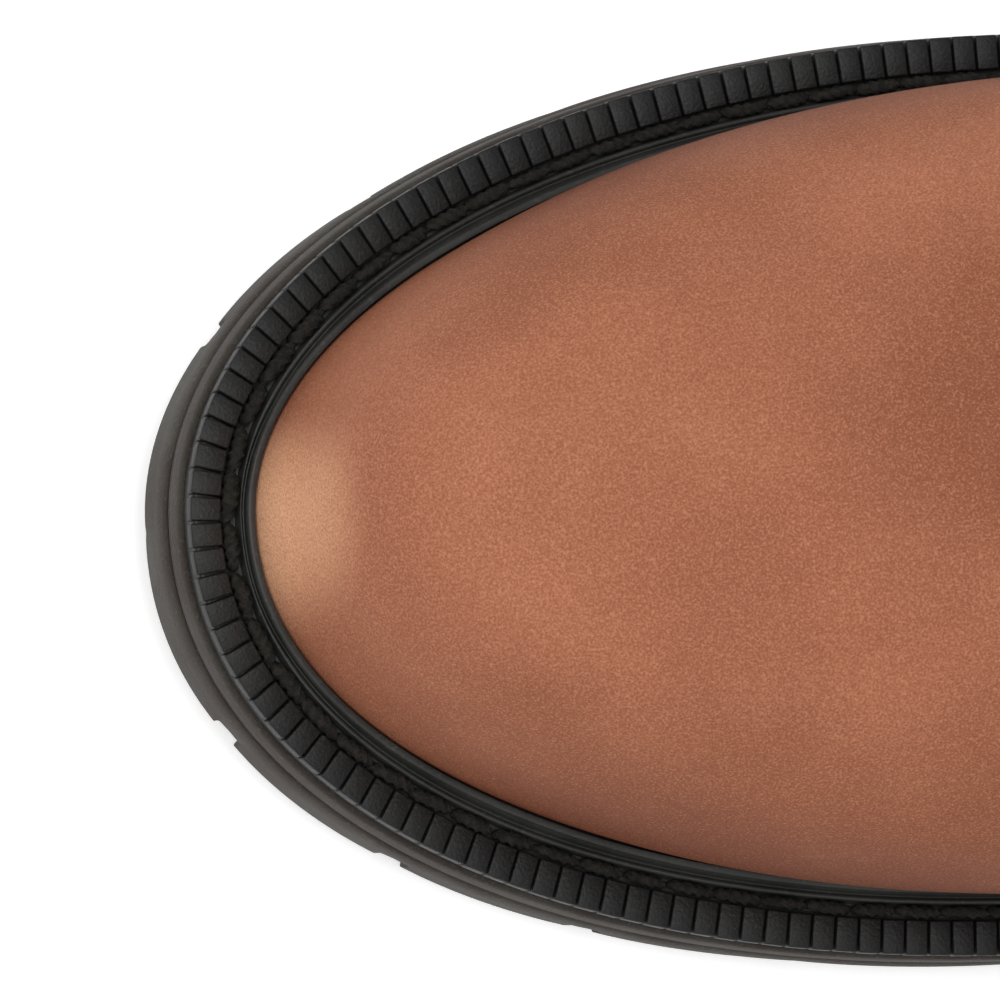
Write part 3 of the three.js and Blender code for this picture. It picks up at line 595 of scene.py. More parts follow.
class Effects:
    """Effects that several finishes share, each a node group that is built once."""

    def __init__(self) -> None:
        """Builds the groups."""
        self.grain = self._grain()
        self.weave = self._weave()
        self.scuffs = self._scuffs()

    def _grain(self) -> bpy.types.NodeTree:
        """Fine grain and broad mottling: two noises at sizes given in metres."""
        n = new_group("grain", {"Fine": 0.0008, "Broad": 0.02, "Seed": 0.0}, ("Fine", "Broad", "Pores"))
        take = n.add("NodeGroupInput").outputs
        place = n.vector("ADD", take["Vector"], take["Seed"])
        fine = n.add("ShaderNodeTexNoise", {
            "Vector": place, "Scale": n.sum("DIVIDE", 1.0, take["Fine"]), "Detail": 4.0, "Roughness": 0.6,
        })
        broad = n.add("ShaderNodeTexNoise", {
            "Vector": place, "Scale": n.sum("DIVIDE", 1.0, take["Broad"]), "Detail": 3.0, "Roughness": 0.5,
        })
        pores = n.add("ShaderNodeTexVoronoi", {
            "Vector": place, "Scale": n.sum("DIVIDE", 1.2, take["Fine"]), "Randomness": 1.0,
        }, feature="F1")
        n.add("NodeGroupOutput", {
            "Fine": fine.outputs[0], "Broad": broad.outputs[0], "Pores": pores.outputs[0],
        })
        return n.tree

    def _weave(self) -> bpy.types.NodeTree:
        """Crossing threads over a cloth's own UV map, which is in metres."""
        n = new_group("weave", {"Thread": 0.0006, "Rib": 1.0}, ("Height",))
        take = n.add("NodeGroupInput").outputs
        parts = n.parts(take["Vector"])
        turns = [n.sum("MULTIPLY", n.sum("DIVIDE", parts[k], take["Thread"]), math.pi) for k in (0, 1)]
        warp = n.sum("ABSOLUTE", n.sum("SINE", turns[0]))
        weft = n.sum("ABSOLUTE", n.sum("SINE", n.sum("MULTIPLY", turns[1], take["Rib"])))
        over = n.sum("MULTIPLY", n.sum("SINE", turns[0]), n.sum("SINE", turns[1]))
        side = n.sum("GREATER_THAN", over, 0.0)
        one = n.sum("MULTIPLY", side, warp)
        other = n.sum("MULTIPLY", n.sum("SUBTRACT", 1.0, side), weft)
        n.add("NodeGroupOutput", {"Height": n.sum("ADD", one, other)})
        return n.tree

    def _scuffs(self) -> bpy.types.NodeTree:
        """Rubbed places and fine scratches, as masks."""
        n = new_group("scuffs", {"Size": 0.012, "Amount": 0.4}, ("Rubbed", "Scratch"))
        take = n.add("NodeGroupInput").outputs
        scale = n.sum("DIVIDE", 1.0, take["Size"])
        patch = n.add("ShaderNodeTexNoise", {
            "Vector": take["Vector"], "Scale": scale, "Detail": 6.0, "Roughness": 0.7,
        })
        rubbed = n.add("ShaderNodeMapRange", {
            "Value": patch.outputs[0], "From Min": n.sum("SUBTRACT", 0.9, take["Amount"]), "From Max": 0.85,
        }, interpolation_type="SMOOTHSTEP")
        long = n.add("ShaderNodeMapping", {"Vector": take["Vector"], "Scale": (1.0, 9.0, 9.0)})
        lines = n.add("ShaderNodeTexNoise", {
            "Vector": long.outputs[0], "Scale": n.sum("MULTIPLY", scale, 5.0),
            "Detail": 2.0, "Distortion": 0.3,
        })
        scratch = n.remap(lines.outputs[0], 0.63, 0.7, 0.0, 1.0)
        n.add("NodeGroupOutput", {"Rubbed": rubbed.outputs[0], "Scratch": scratch})
        return n.tree


# ------------------------------------------------------------------------------ finishes
class Surface:
    """A material being built: its tree, its shader and the place its patterns read."""

    def __init__(self, name: str, by_uv: bool = False) -> None:
        """Starts the material with the object's own coordinates, or its UV map."""
        self.material = bpy.data.materials.new(name)
        self.material.use_nodes = True
        tree = self.material.node_tree
        tree.nodes.clear()
        self.n = Nodes(tree)
        self.shader = self.n.add("ShaderNodeBsdfPrincipled")
        self.n.add("ShaderNodeOutputMaterial", {0: self.shader.outputs[0]})
        self.place = self.n.add("ShaderNodeTexCoord").outputs["UV" if by_uv else "Object"]

    def group(self, tree: bpy.types.NodeTree, **values: float) -> bpy.types.NodeOutputs:
        """Places a shared effect and gives its outputs."""
        node = self.n.add("ShaderNodeGroup", node_tree=tree)
        self.n.feed(node.inputs["Vector"], self.place)
        for key, value in values.items():
            self.n.feed(node.inputs[key], value)
        return node.outputs

    def bump(self, height: object, depth: float) -> bpy.types.NodeSocket:
        """A normal from a height, whose whole range is `depth` metres."""
        values = {"Height": height, "Strength": 1.0, "Distance": depth}
        return self.n.add("ShaderNodeBump", values).outputs[0]

    def finish(
        self, base: object, roughness: object, normal: object = None, **fixed: object,
    ) -> bpy.types.Material:
        """Joins the shader up. `fixed` sets its other sockets, with _ for a space in their names.

        Args:
            base: Base colour.
            roughness: Roughness.
            normal: Normal, where there is a bump.
            fixed: Values of other sockets.

        Returns:
            The material.
        """
        self.n.feed(self.shader.inputs["Base Color"], base)
        self.n.feed(self.shader.inputs["Roughness"], roughness)
        if normal is not None:
            self.n.feed(self.shader.inputs["Normal"], normal)
        for key, value in fixed.items():
            self.shader.inputs[key.replace("_", " ")].default_value = value
        return self.material


@dataclass(frozen=True)
class Nubuck:
    """Oiled leather with a brushed face: fine grain, cloudy tone, paler at the toe tip from wear and a
    painted highlight.
    """

    name: str = "oiled_leather"
    main: tuple[int, int, int] = (172, 111, 84)
    deep: tuple[int, int, int] = (128, 76, 55)
    pale: tuple[int, int, int] = (238, 182, 142)
    dark: tuple[int, int, int] = (94, 47, 28)
    fine: float = 0.00029
    mottle: float = 0.026
    cloud: float = 0.055
    depth: float = 0.00014
    tip_x: float = -0.1465
    # reach of the pale tip, partly wear and partly a painted highlight
    pale_reach: float = 0.0065
    # where the painted shade ring behind the toe's tip starts and ends
    ring: tuple[float, float] = (0.0045, 0.0165)
    # middle and reach of the painted shade in the hollow behind the toe cap
    worn_at: tuple[float, float, float] = (-0.066, 0.0, 0.07)
    worn_reach: tuple[float, float] = (0.012, 0.045)
    # heights and places of the painted shade on the low sides
    burnish_z: tuple[float, float] = (0.026, 0.072)
    burnish_x: tuple[float, float] = (-0.15, -0.1)

    def build(self, effects: Effects) -> bpy.types.Material:
        """Makes the material.

        Args:
            effects: The node groups that finishes share.

        Returns:
            The material.
        """
        s = Surface(self.name)
        n = s.n
        deep, pale, dark = colour(*self.deep), colour(*self.pale), colour(*self.dark)
        grain = s.group(effects.grain, Fine=self.fine, Broad=self.mottle)
        cloud = s.group(effects.grain, Fine=0.006, Broad=self.cloud, Seed=3.7)
        rubs = s.group(effects.scuffs, Size=0.02, Amount=0.35)
        x, _, z = n.parts(s.place)
        # cloudy and mottled tone
        tone = n.mix(n.remap(cloud["Broad"], 0.32, 0.6, 0.5, 0.0), colour(*self.main), deep)
        tone = n.mix(n.remap(grain["Broad"], 0.35, 0.65, 0.24, 0.0), tone, deep)
        # painted shade: a darker ring behind the pale tip of the toe
        shade_ring_from, shade_ring_to = (self.tip_x + reach for reach in self.ring)
        tone = n.mix(n.remap(x, shade_ring_from, shade_ring_to, 0.3, 0.0), tone, deep)
        # the pale tip: partly wear, partly a painted highlight where the tip faces the light
        pale_tip_and_highlight = n.remap(x, self.tip_x, self.tip_x + self.pale_reach, 0.95, 0.0)
        tone = n.mix(pale_tip_and_highlight, tone, pale)
        # painted shade: a darkened place in the hollow over the back of the toe cap
        to_hollow_shade = n.vector("SUBTRACT", s.place, self.worn_at)
        away = n.add("ShaderNodeVectorMath", {0: to_hollow_shade}, operation="LENGTH").outputs["Value"]
        away = n.sum("ADD", away, n.sum("MULTIPLY", cloud["Broad"], 0.02))
        tone = n.mix(n.remap(away, *self.worn_reach, 0.42, 0.0), tone, deep)
        # low sides darkened by painted shade, where they turn from the light, but not the front
        low_side = n.remap(z, *self.burnish_z, 0.95, 0.0)
        low_shade = n.sum("MULTIPLY", low_side, n.remap(x, *self.burnish_x, 0.0, 1.0))
        tone = n.mix(low_shade, tone, dark)
        # dark and pale flecks of the nap, and rubbed places
        tone = n.mix(n.remap(grain["Fine"], 0.32, 0.6, 0.38, 0.0), tone, dark)
        tone = n.mix(n.remap(grain["Fine"], 0.5, 0.72, 0.0, 0.2), tone, pale)
        tone = n.mix(n.sum("MULTIPLY", rubs["Rubbed"], 0.07), tone, pale)
        height = n.sum("ADD", grain["Fine"], n.sum("MULTIPLY", grain["Pores"], 0.35))
        rough = n.remap(cloud["Broad"], 0.3, 0.7, 0.78, 0.66)
        return s.finish(tone, rough, s.bump(height, self.depth), Specular_IOR_Level=0.07)


@dataclass(frozen=True)
class Rubber:
    """Moulded rubber with a fine tooth, dust in its hollows and rubbed places."""

    name: str
    main: tuple[int, int, int]
    second: tuple[int, int, int]
    roughness: float = 0.55
    tooth: float = 0.0007
    depth: float = 0.00004
    specular: float = 0.5
    dust: int = 38
    scratched: int = 50

    def build(self, effects: Effects) -> bpy.types.Material:
        """Makes the material.

        Args:
            effects: The node groups that finishes share.

        Returns:
            The material.
        """
        s = Surface(self.name)
        n = s.n
        grain = s.group(effects.grain, Fine=self.tooth, Broad=0.011)
        rubs = s.group(effects.scuffs, Size=0.009, Amount=0.42)
        tone = n.mix(n.remap(grain["Broad"], 0.36, 0.64, 0.0, 1.0), colour(*self.main), colour(*self.second))
        tone = n.mix(n.remap(grain["Fine"], 0.56, 0.74, 0.0, 0.35), tone, lighter(self.main, self.dust))
        tone = n.mix(n.sum("MULTIPLY", rubs["Scratch"], 0.16), tone, lighter(self.main, self.scratched))
        rough = n.remap(rubs["Rubbed"], 0.0, 1.0, self.roughness, self.roughness - 0.12)
        height = n.sum("ADD", grain["Fine"], n.sum("MULTIPLY", grain["Pores"], 0.5))
        return s.finish(tone, rough, s.bump(height, self.depth), Specular_IOR_Level=self.specular)


@dataclass(frozen=True)
class Cloth:
    """Woven cloth or webbing, which reads the piece's own UV map."""

    name: str
    main: tuple[int, int, int]
    gap: tuple[int, int, int]
    thread: float = 0.0007
    rib: float = 1.0
    depth: float = 0.00018

    def build(self, effects: Effects) -> bpy.types.Material:
        """Makes the material.

        Args:
            effects: The node groups that finishes share.

        Returns:
            The material.
        """
        s = Surface(self.name, by_uv=True)
        n = s.n
        weave = s.group(effects.weave, Thread=self.thread, Rib=self.rib)
        fuzz = s.group(effects.grain, Fine=0.0005, Broad=0.02)
        tone = n.mix(n.remap(weave["Height"], 0.1, 0.8, 0.0, 1.0), colour(*self.gap), colour(*self.main))
        tone = n.mix(n.remap(fuzz["Broad"], 0.35, 0.65, 0.25, 0.0), tone, colour(*self.gap))
        height = n.sum("ADD", weave["Height"], n.sum("MULTIPLY", fuzz["Fine"], 0.4))
        return s.finish(tone, 0.88, s.bump(height, self.depth), Sheen_Weight=0.2, Sheen_Roughness=0.5)


@dataclass(frozen=True)
class Cord:
    """Waxed twisted thread."""

    name: str
    main: tuple[int, int, int]
    fibre: tuple[int, int, int]
    roughness: float = 0.6

    def build(self, effects: Effects) -> bpy.types.Material:
        """Makes the material."""
        s = Surface(self.name)
        n = s.n
        grain = s.group(effects.grain, Fine=0.00035, Broad=0.0009)
        tone = n.mix(n.remap(grain["Broad"], 0.35, 0.65, 0.0, 1.0), colour(*self.main), colour(*self.fibre))
        return s.finish(tone, self.roughness, s.bump(grain["Fine"], 0.00045), Specular_IOR_Level=0.3)


@dataclass(frozen=True)
class Grained:
    """A plain stock, such as board, cork, foam or steel, told apart by grain, tone and metal."""

    name: str
    main: tuple[int, int, int]
    second: tuple[int, int, int]
    fine: float = 0.001
    broad: float = 0.01
    roughness: float = 0.85
    metallic: float = 0.0
    depth: float = 0.0001

    def build(self, effects: Effects) -> bpy.types.Material:
        """Makes the material.

        Args:
            effects: The node groups that finishes share.

        Returns:
            The material.
        """
        s = Surface(self.name)
        n = s.n
        grain = s.group(effects.grain, Fine=self.fine, Broad=self.broad)
        tone = n.mix(n.remap(grain["Broad"], 0.35, 0.65, 0.0, 1.0), colour(*self.main), colour(*self.second))
        tone = n.mix(n.remap(grain["Pores"], 0.2, 0.7, 0.35, 0.0), tone, colour(*self.second))
        rough = n.remap(grain["Fine"], 0.3, 0.7, self.roughness - 0.06, self.roughness + 0.06)
        return s.finish(tone, rough, s.bump(grain["Fine"], self.depth), Metallic=self.metallic)


class Finishes:
    """Every finish of the boot, built once and found by its place in the boot."""

    def __init__(self) -> None:
        """Builds the materials."""
        effects = Effects()
        self.leather = Nubuck().build(effects)
        # the welt's body is lighter than its ribs though both are one rubber: a painted highlight where the
        # upstand catches the light
        self.welt = Rubber(
            "welt_rubber", (45, 45, 43), (35, 35, 33), roughness=0.5, specular=0.42,
        ).build(effects)
        self.ribs = Rubber(
            "rib_rubber", (17, 17, 16), (12, 12, 12), roughness=0.52, tooth=0.0005, depth=0.00007,
            specular=0.35,
        ).build(effects)
        self.sole = Rubber(
            "sole_rubber", (61, 57, 52), (53, 46, 41), roughness=0.72, tooth=0.0005, depth=0.00012,
            specular=0.3,
        ).build(effects)
        self.thread = Cord("waxed_thread", (20, 19, 16), (39, 35, 30), 0.75).build(effects)
        self.seam_thread = Cord("seam_thread", (150, 106, 78), (176, 130, 98), 0.7).build(effects)
        self.lining = Cloth("lining_cloth", (158, 146, 128), (96, 86, 72)).build(effects)
        self.webbing = Cloth("loop_webbing", (58, 50, 44), (24, 21, 19), 0.0011, 0.45, 0.0003).build(effects)
        self.trim = Rubber("trim_leather", (58, 44, 37), (40, 31, 27), 0.55, tooth=0.0009).build(effects)
        self.footbed = Cloth("footbed_cloth", (62, 63, 66), (34, 35, 37), 0.0009).build(effects)
        self.foam = Grained("foam", (60, 61, 64), (46, 47, 50), 0.0008, 0.004).build(effects)
        self.board = Grained("fibre_board", (172, 148, 112), (148, 124, 92), 0.0006, 0.006).build(effects)
        self.cork = Grained("cork", (168, 122, 78), (112, 76, 46), 0.0016, 0.003).build(effects)
        self.steel = Grained(
            "steel", (158, 160, 162), (138, 140, 143), fine=0.0005, broad=0.02, roughness=0.35,
            metallic=1.0, depth=0.00002,
        ).build(effects)


# ------------------------------------------------------------------------------ what repeats
class Repeat:
    """A Geometry Nodes tree that sets a copy of one small shape on each of many points.

    The points carry `along` and `out` directions, a `stretch` of the shape, and a `bend`, which is
    how sharply their line turns: a long side on the outside of a bend becomes longer than the inner.
    """

    def __init__(self, name: str, sizes: dict[str, float], material: bpy.types.Material) -> None:
        """Starts the tree with its named inputs.

        Args:
            name: The tree's name.
            sizes: Its inputs: numbers, by name.
            material: What the copies are finished with.
        """
        self.tree = bpy.data.node_groups.new(name, "GeometryNodeTree")
        face = self.tree.interface
        face.new_socket("Geometry", in_out="INPUT", socket_type="NodeSocketGeometry")
        face.new_socket("Geometry", in_out="OUTPUT", socket_type="NodeSocketGeometry")
        self.keys = {}
        for key, value in sizes.items():
            kind = "NodeSocketInt" if isinstance(value, int) else "NodeSocketFloat"
            made = face.new_socket(key, in_out="INPUT", socket_type=kind)
            self.keys[key] = made.identifier
        self.sizes = sizes
        self.material = material
        self.n = Nodes(self.tree)
        self.take = self.n.add("NodeGroupInput").outputs

    def _named(self, key: str) -> bpy.types.NodeSocket:
        """One of the points' attributes."""
        node = self.n.add("GeometryNodeInputNamedAttribute", {"Name": key}, data_type="FLOAT_VECTOR")
        return node.outputs[0]

    def _finish(self, unit: bpy.types.NodeSocket) -> None:
        """Sets the shape on the points, realizes the copies and gives them their finish.

        Args:
            unit: The shape to repeat.
        """
        n = self.n
        read = {key: self._named(key) for key in ("along", "out", "stretch", "local", "bend")}
        kept = n.add("GeometryNodeStoreNamedAttribute", {
            "Geometry": unit, "Name": "local", "Value": n.add("GeometryNodeInputPosition").outputs[0],
        }, data_type="FLOAT_VECTOR", domain="POINT")
        turn = n.add("FunctionNodeAxesToRotation", primary_axis="X", secondary_axis="Z")
        n.feed(turn.inputs[0], read["along"])
        n.feed(turn.inputs[1], read["out"])
        placed = n.add("GeometryNodeInstanceOnPoints", {
            "Points": self.take["Geometry"], "Instance": kept.outputs[0], "Rotation": turn.outputs[0],
            "Scale": read["stretch"],
        })
        real = n.add("GeometryNodeRealizeInstances", {"Geometry": placed.outputs[0]})
        parts = n.parts(n.vector("MULTIPLY", read["local"], read["stretch"]))
        rate = n.parts(read["bend"])[0]
        grow = n.sum("MULTIPLY", n.sum("MULTIPLY", parts[0], parts[1]), rate)
        shift = n.scale(read["along"], grow)
        bent = n.add("GeometryNodeSetPosition", {"Geometry": real.outputs[0], "Offset": shift})
        smoothed = n.add("GeometryNodeSetShadeSmooth", {"Geometry": bent.outputs[0]})
        dressed = n.add("GeometryNodeSetMaterial", {
            "Geometry": smoothed.outputs[0], "Material": self.material,
        })
        n.add("NodeGroupOutput", {"Geometry": dressed.outputs[0]})

    def _place(self, start: bpy.types.Node, spot: bpy.types.NodeSocket) -> None:
        """Moves a starting shape's points to their places, and finishes the tree with it."""
        moved = self.n.add("GeometryNodeSetPosition", {"Geometry": start.outputs[0], "Position": spot})
        self._finish(moved.outputs[0])

    def blocks(self) -> Repeat:
        """The shape is a block one unit each way, with its edges rounded by `Edge`."""
        n, take = self.n, self.take
        cube = n.add("GeometryNodeMeshCube", {
            "Size": (2.0, 2.0, 2.0), "Vertices X": 4, "Vertices Y": 4, "Vertices Z": 4,
        })
        place = n.add("GeometryNodeInputPosition").outputs[0]
        signs = n.vector("SIGN", place)
        size = n.add("ShaderNodeCombineXYZ", {
            0: take["Length"], 1: take["Width"], 2: take["Height"],
        }).outputs[0]
        inner = n.vector("SUBTRACT", n.scale(size, 0.5), take["Edge"])
        just_over = (1.001, 1.001, 1.001)  # so that a corner at 1 doesn't fall to 0
        far = n.vector("FLOOR", n.vector("MULTIPLY", n.vector("ABSOLUTE", place), just_over))
        push = n.vector("NORMALIZE", n.vector("MULTIPLY", far, signs))
        spot = n.vector("ADD", n.vector("MULTIPLY", signs, inner), n.scale(push, take["Edge"]))
        self._place(cube, spot)
        return self

    def stitches(self) -> Repeat:
        """The shape is one stitch of twisted thread, whose ends dip below its middle."""
        n, take = self.n, self.take
        ball = n.add("GeometryNodeMeshUVSphere", {
            "Segments": take["Sides"], "Rings": take["Rings"], "Radius": 1.0,
        })
        place = n.parts(n.add("GeometryNodeInputPosition").outputs[0])
        along = place[2]
        plain = n.sum("ARCTAN2", place[1], place[0])
        angle = n.sum("ADD", plain, n.sum("MULTIPLY", along, take["Twist"]))
        rest = n.sum("SUBTRACT", 1.0, n.sum("MULTIPLY", along, along))
        round_off = n.sum("POWER", n.sum("MAXIMUM", rest, 0.0), 0.33)
        lobes = n.sum("MULTIPLY_ADD", n.sum("COSINE", n.sum("MULTIPLY", angle, 3.0)), take["Lobe"], 1.0)
        radius = n.sum("MULTIPLY", n.sum("MULTIPLY", round_off, lobes), take["Radius"])
        side = n.sum("MULTIPLY", radius, n.sum("SINE", plain))
        up = n.sum("MULTIPLY", radius, n.sum("COSINE", plain))
        lift = n.sum("MULTIPLY", n.sum("SUBTRACT", rest, 0.6), take["Arch"])
        run = n.sum("MULTIPLY", along, n.sum("MULTIPLY", take["Length"], 0.5))
        spot = n.add("ShaderNodeCombineXYZ", {0: run, 1: side, 2: n.sum("ADD", up, lift)}).outputs[0]
        self._place(ball, spot)
        return self

    def lay(self, name: str, spots: Spots) -> bpy.types.Object:
        """Makes a plain mesh of the shape on every spot.

        Args:
            name: The piece's name.
            spots: Where the copies go.

        Returns:
            The object.
        """
        mesh = bpy.data.meshes.new(name)
        mesh.from_pydata((spots.at * MM).tolist(), [], [])
        for key in Spots.WAYS:
            layer = mesh.attributes.new(key, "FLOAT_VECTOR", "POINT")
            layer.data.foreach_set("vector", getattr(spots, key).astype(np.float32).ravel())
        made = bpy.data.objects.new(name, mesh)
        bpy.context.scene.collection.objects.link(made)
        nodes = made.modifiers.new("repeat", "NODES")
        nodes.node_group = self.tree
        for key, value in self.sizes.items():
            nodes[self.keys[key]] = value
        ready = made.evaluated_get(bpy.context.evaluated_depsgraph_get())
        made.data = bpy.data.meshes.new_from_object(ready)
        made.data.name = name
        made.modifiers.clear()
        for key in (*Spots.WAYS, "local"):
            if key in made.data.attributes:
                made.data.attributes.remove(made.data.attributes[key])
        return made


@dataclass
class Spots:
    """Places for a repeated shape, in millimetres, with its directions and stretch."""

    WAYS: ClassVar[tuple[str, ...]] = ("along", "out", "stretch", "bend")

    at: Array
    along: Array
    out: Array
    stretch: Array
    bend: Array | None = None

    def __post_init__(self) -> None:
        """A line is straight unless it says otherwise."""
        if self.bend is None:
            self.bend = np.zeros_like(self.at)

    @staticmethod
    def on(
        line: Array, out: Array, pitch: float, closed: bool = False, stretch: Array | None = None,
    ) -> Spots:
        """Even places along a line.

        Args:
            line: Points of the line.
            out: The outward direction at each of them.
            pitch: Distance from one place to the next, which is eased to divide the line evenly.
            closed: Whether the line's end meets its start.
            stretch: Stretch of the shape at each point of the line.

        Returns:
            The places.
        """
        if closed:
            line, out = np.concatenate([line, line[:1]]), np.concatenate([out, out[:1]])
            stretch = None if stretch is None else np.concatenate([stretch, stretch[:1]])
        run = np.concatenate([[0], np.cumsum(np.linalg.norm(np.diff(line, axis=0), axis=1))])
        count = max(1, round(run[-1] / pitch))
        where = (np.arange(count) + 0.5) * run[-1] / count

        def pick(values: Array, at: Array = where) -> Array:
            """Values of the line at some distances along it."""
            return np.stack([np.interp(at, run, values[:, k]) for k in range(values.shape[1])], axis=-1)

        near = 0.2
        along = pick(line, where + near) - pick(line, where - near)
        along /= np.linalg.norm(along, axis=1, keepdims=True)
        size = np.ones((count, 3)) if stretch is None else pick(stretch)
        ahead = pick(line, np.minimum(where + pitch, run[-1])) - pick(line)
        behind = pick(line) - pick(line, np.maximum(where - pitch, 0))
        across = behind[:, 0] * ahead[:, 1] - behind[:, 1] * ahead[:, 0]
        turned = np.arctan2(across, np.sum(behind[:, :2] * ahead[:, :2], axis=1))
        rate = -turned / pitch / MM
        return Spots(pick(line), along, pick(out), size, np.stack([rate, 0 * rate, 0 * rate], axis=-1))

    def uneven(self, seed: int, size: float, tilt: float) -> Spots:
        """The same places, with small chance differences in size and lean."""
        chance = np.random.default_rng(seed)
        stretch = self.stretch * (1 + size * chance.uniform(-1, 1, self.stretch.shape))
        out = self.out + tilt * chance.uniform(-1, 1, self.out.shape)
        along = self.along + tilt * 0.4 * chance.uniform(-1, 1, self.along.shape)
        along /= np.linalg.norm(along, axis=1, keepdims=True)
        return Spots(self.at, along, out, stretch, self.bend)

    @staticmethod
    def upright(at: Array, along: Array) -> Spots:
        """Places whose outward direction is straight up, with nothing stretched."""
        return Spots(at, along, np.tile(UPRIGHT, (len(at), 1)), np.ones((len(at), 3)))

    @staticmethod
    def joined(rows: Sequence[Spots]) -> Spots:
        """All the places of several rows."""
        keys = ("at", *Spots.WAYS)
        return Spots(*(np.concatenate([getattr(row, key) for row in rows]) for key in keys))


# ------------------------------------------------------------------------------ sub-assemblies
class Slot(Enum):
    """The record's material slots, named beside each piece's finish."""

    LEATHER = "upper_leather"
    WELT = "welt_rubber"
    MIDSOLE = "midsole_rubber"
    SOLE = "sole_rubber"
    THREAD = "welt_thread"
    FOAM = "foam"
    LINING = "lining_textile"
    TRIM = "trim"
    WEBBING = "webbing"


class Side(Enum):
    """Which side of the foot a piece is on: its turn round the boot, and its name."""

    LATERAL = 1
    MEDIAL = -1

    @property
    def label(self) -> str:
        """The side's name in lower case."""
        return self.name.lower()


def settle(piece: bpy.types.Object, slot: Slot, finish: bpy.types.Material, *nodes: str) -> None:
    """Dresses a piece, rides it on the boot and hides the frame's solids that it stands for.

    Args:
        piece: The piece.
        slot: Not used.
        finish: Its material.
        nodes: The frame's nodes that it replaces.
    """
    piece.data.materials.clear()
    piece.data.materials.append(finish)
    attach(piece, "boot")
    if nodes:
        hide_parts(*nodes)
    LOG.info("%s: %d faces", piece.name, len(piece.data.polygons))


def turns(count: int) -> Array:
    """Even turns once round the boot."""
    return np.arange(count) / count


@dataclass
class SoleUnit:
    """Outsole with its lugs, midsole and the two-layer heel."""

    last: Last
    stations: int = 720
    base: float = 4.0
    midsole_low: float = 4.3
    midsole_high: float = 8.5
    lug_band: float = 13.0
    channel: float = 3.5
    groove_width: float = 4.0
    groove_floor: float = 0.6
    lug_pitch: float = 27.0
    bar_pitch: float = 16.0
    bar_turn: float = math.pi / 7
    bar_room: float = 2.0
    first_bar: float = 34.0
    groove_edge: float = 0.5
    flare: float = 0.25
    flare_fade: float = 25.0
    lift_high: float = 8.0
    seam: float = 0.3
    heel_stations: int = 360
    breast_bow: float = 2.2
    slot_shares: tuple[float, ...] = (0.25, 0.55)
    slot_half: float = 2.0
    slot_reach: float = 12.0

    def rim(self, inset: Array | float, height: float) -> Array:
        """One line round the sole, whose lower edge stands out a little over each lug.

        Args:
            inset: Distance in from the outsole's edge.
            height: Height over the tread root.

        Returns:
            Points, as x, y and z.
        """
        t = turns(self.stations)
        share = 1 - abs(1 - 2 * t)
        run = share * self.last.side_run
        swell = self.flare * np.abs(np.sin(math.pi * run / self.lug_pitch)) ** 0.5
        fore = smooth(np.clip((self.lug_end - self.last.edge(t)[:, 0]) / self.flare_fade, 0, 1))
        depth = np.clip((self.base - height) / self.base, 0, 1)
        return self.last.sole_line(t, np.asarray(inset) - swell * fore * depth, height)

    @property
    def lug_end(self) -> float:
        """Where the lugs stop and the plain waist starts."""
        return self.last.toe_x + 0.5 * self.last.length

    def outsole(self) -> bpy.types.Object:
        """The outsole's plate, its edge blocks and its middle bars, grooved and joined."""
        shape = Shape()
        rails = [
            self.rim(6, -0.2), self.rim(0.3, -0.2), self.rim(0.05, 1.2), self.rim(0.0, 2.9),
            self.rim(0.35, self.base), self.rim(6, self.base),
        ]
        plate(shape, rounded(rails, (0, 0.7, 0.8, 0.8, 0.5, 0), 3, closed=False), 10)
        base = shape.make("outsole_plate", 45)
        lugs = Shape()
        low = -self.last.lug_depth
        rails = [self.rim(4, low), self.rim(0.5, low), self.rim(0.3, 0.4), self.rim(4, 0.4)]
        plate(lugs, rounded(rails, (0, 1.0, 0, 0), 3, closed=False), 10)
        blocks = lugs.make("lugs", 45)
        for cutter in (self.channel_ring(), *self.grooves(), self.waist_box()):
            cut(blocks, cutter)
        return join("outsole_rubber", [base, blocks])

    def channel_ring(self) -> bpy.types.Object:
        """A cutter for the channel between the edge blocks and the middle."""
        low, high = -self.last.lug_depth - 2, -0.6
        inner = self.lug_band + self.channel
        corners = ((self.lug_band, low), (inner, low), (inner, high), (self.lug_band, high))
        path = [self.last.sole_line(turns(360), inset, height) for inset, height in corners]
        ring = Shape()
        ring.add(np.stack(path), grid_faces(4, 360, True, True))
        return ring.make("channel")

    def waist_box(self) -> bpy.types.Object:
        """A cutter for everything behind the lugs."""
        waist = Shape()
        box_shape(waist, (self.lug_end, -200, -60), (400, 200, 100))
        return waist.make("waist_cut")

    def grooves(self) -> list[bpy.types.Object]:
        """Cutters for the grooves between the blocks, and for the chevrons across the middle."""
        over = 1.0  # how far each cutter passes the tread
        depth = self.last.lug_depth - self.groove_floor
        mid = -self.last.lug_depth + depth / 2 - over
        bar = self.last.ball_width / 3

        def cutter(name: str, laid: str, length: float, spots: Spots) -> bpy.types.Object:
            """A block of the grooves' width and depth on each spot."""
            sizes = metres({
                "Length": length, "Width": self.groove_width, "Height": depth + 2 * over,
                "Edge": self.groove_edge,
            })
            return Repeat(name, sizes, bpy.data.materials.new("cutter")).blocks().lay(laid, spots)

        edge = cutter("edge_grooves", "edge_cut", self.lug_band + 4, self.edge_spots(mid))
        return [edge, cutter("chevrons", "bar_cut", bar, self.bar_spots(bar, mid))]

    def edge_spots(self, mid: float) -> Spots:
        """Places of the grooves through the edge blocks, `mid` over the tread root.

        Args:
            mid: Their height over the tread root.

        Returns:
            The places.
        """
        rows = []
        run = np.arange(self.lug_pitch, 6 * self.lug_pitch, self.lug_pitch)
        for side in Side:
            t = run / self.last.side_run / 2
            t = t if side is Side.LATERAL else 1 - t
            t = t[self.last.edge(t)[:, 0] < self.lug_end]
            at = self.last.sole_line(t, self.lug_band / 2 - 1, mid)
            rows.append(Spots.upright(at, self.last.outward(t)))
        return Spots.joined(rows)

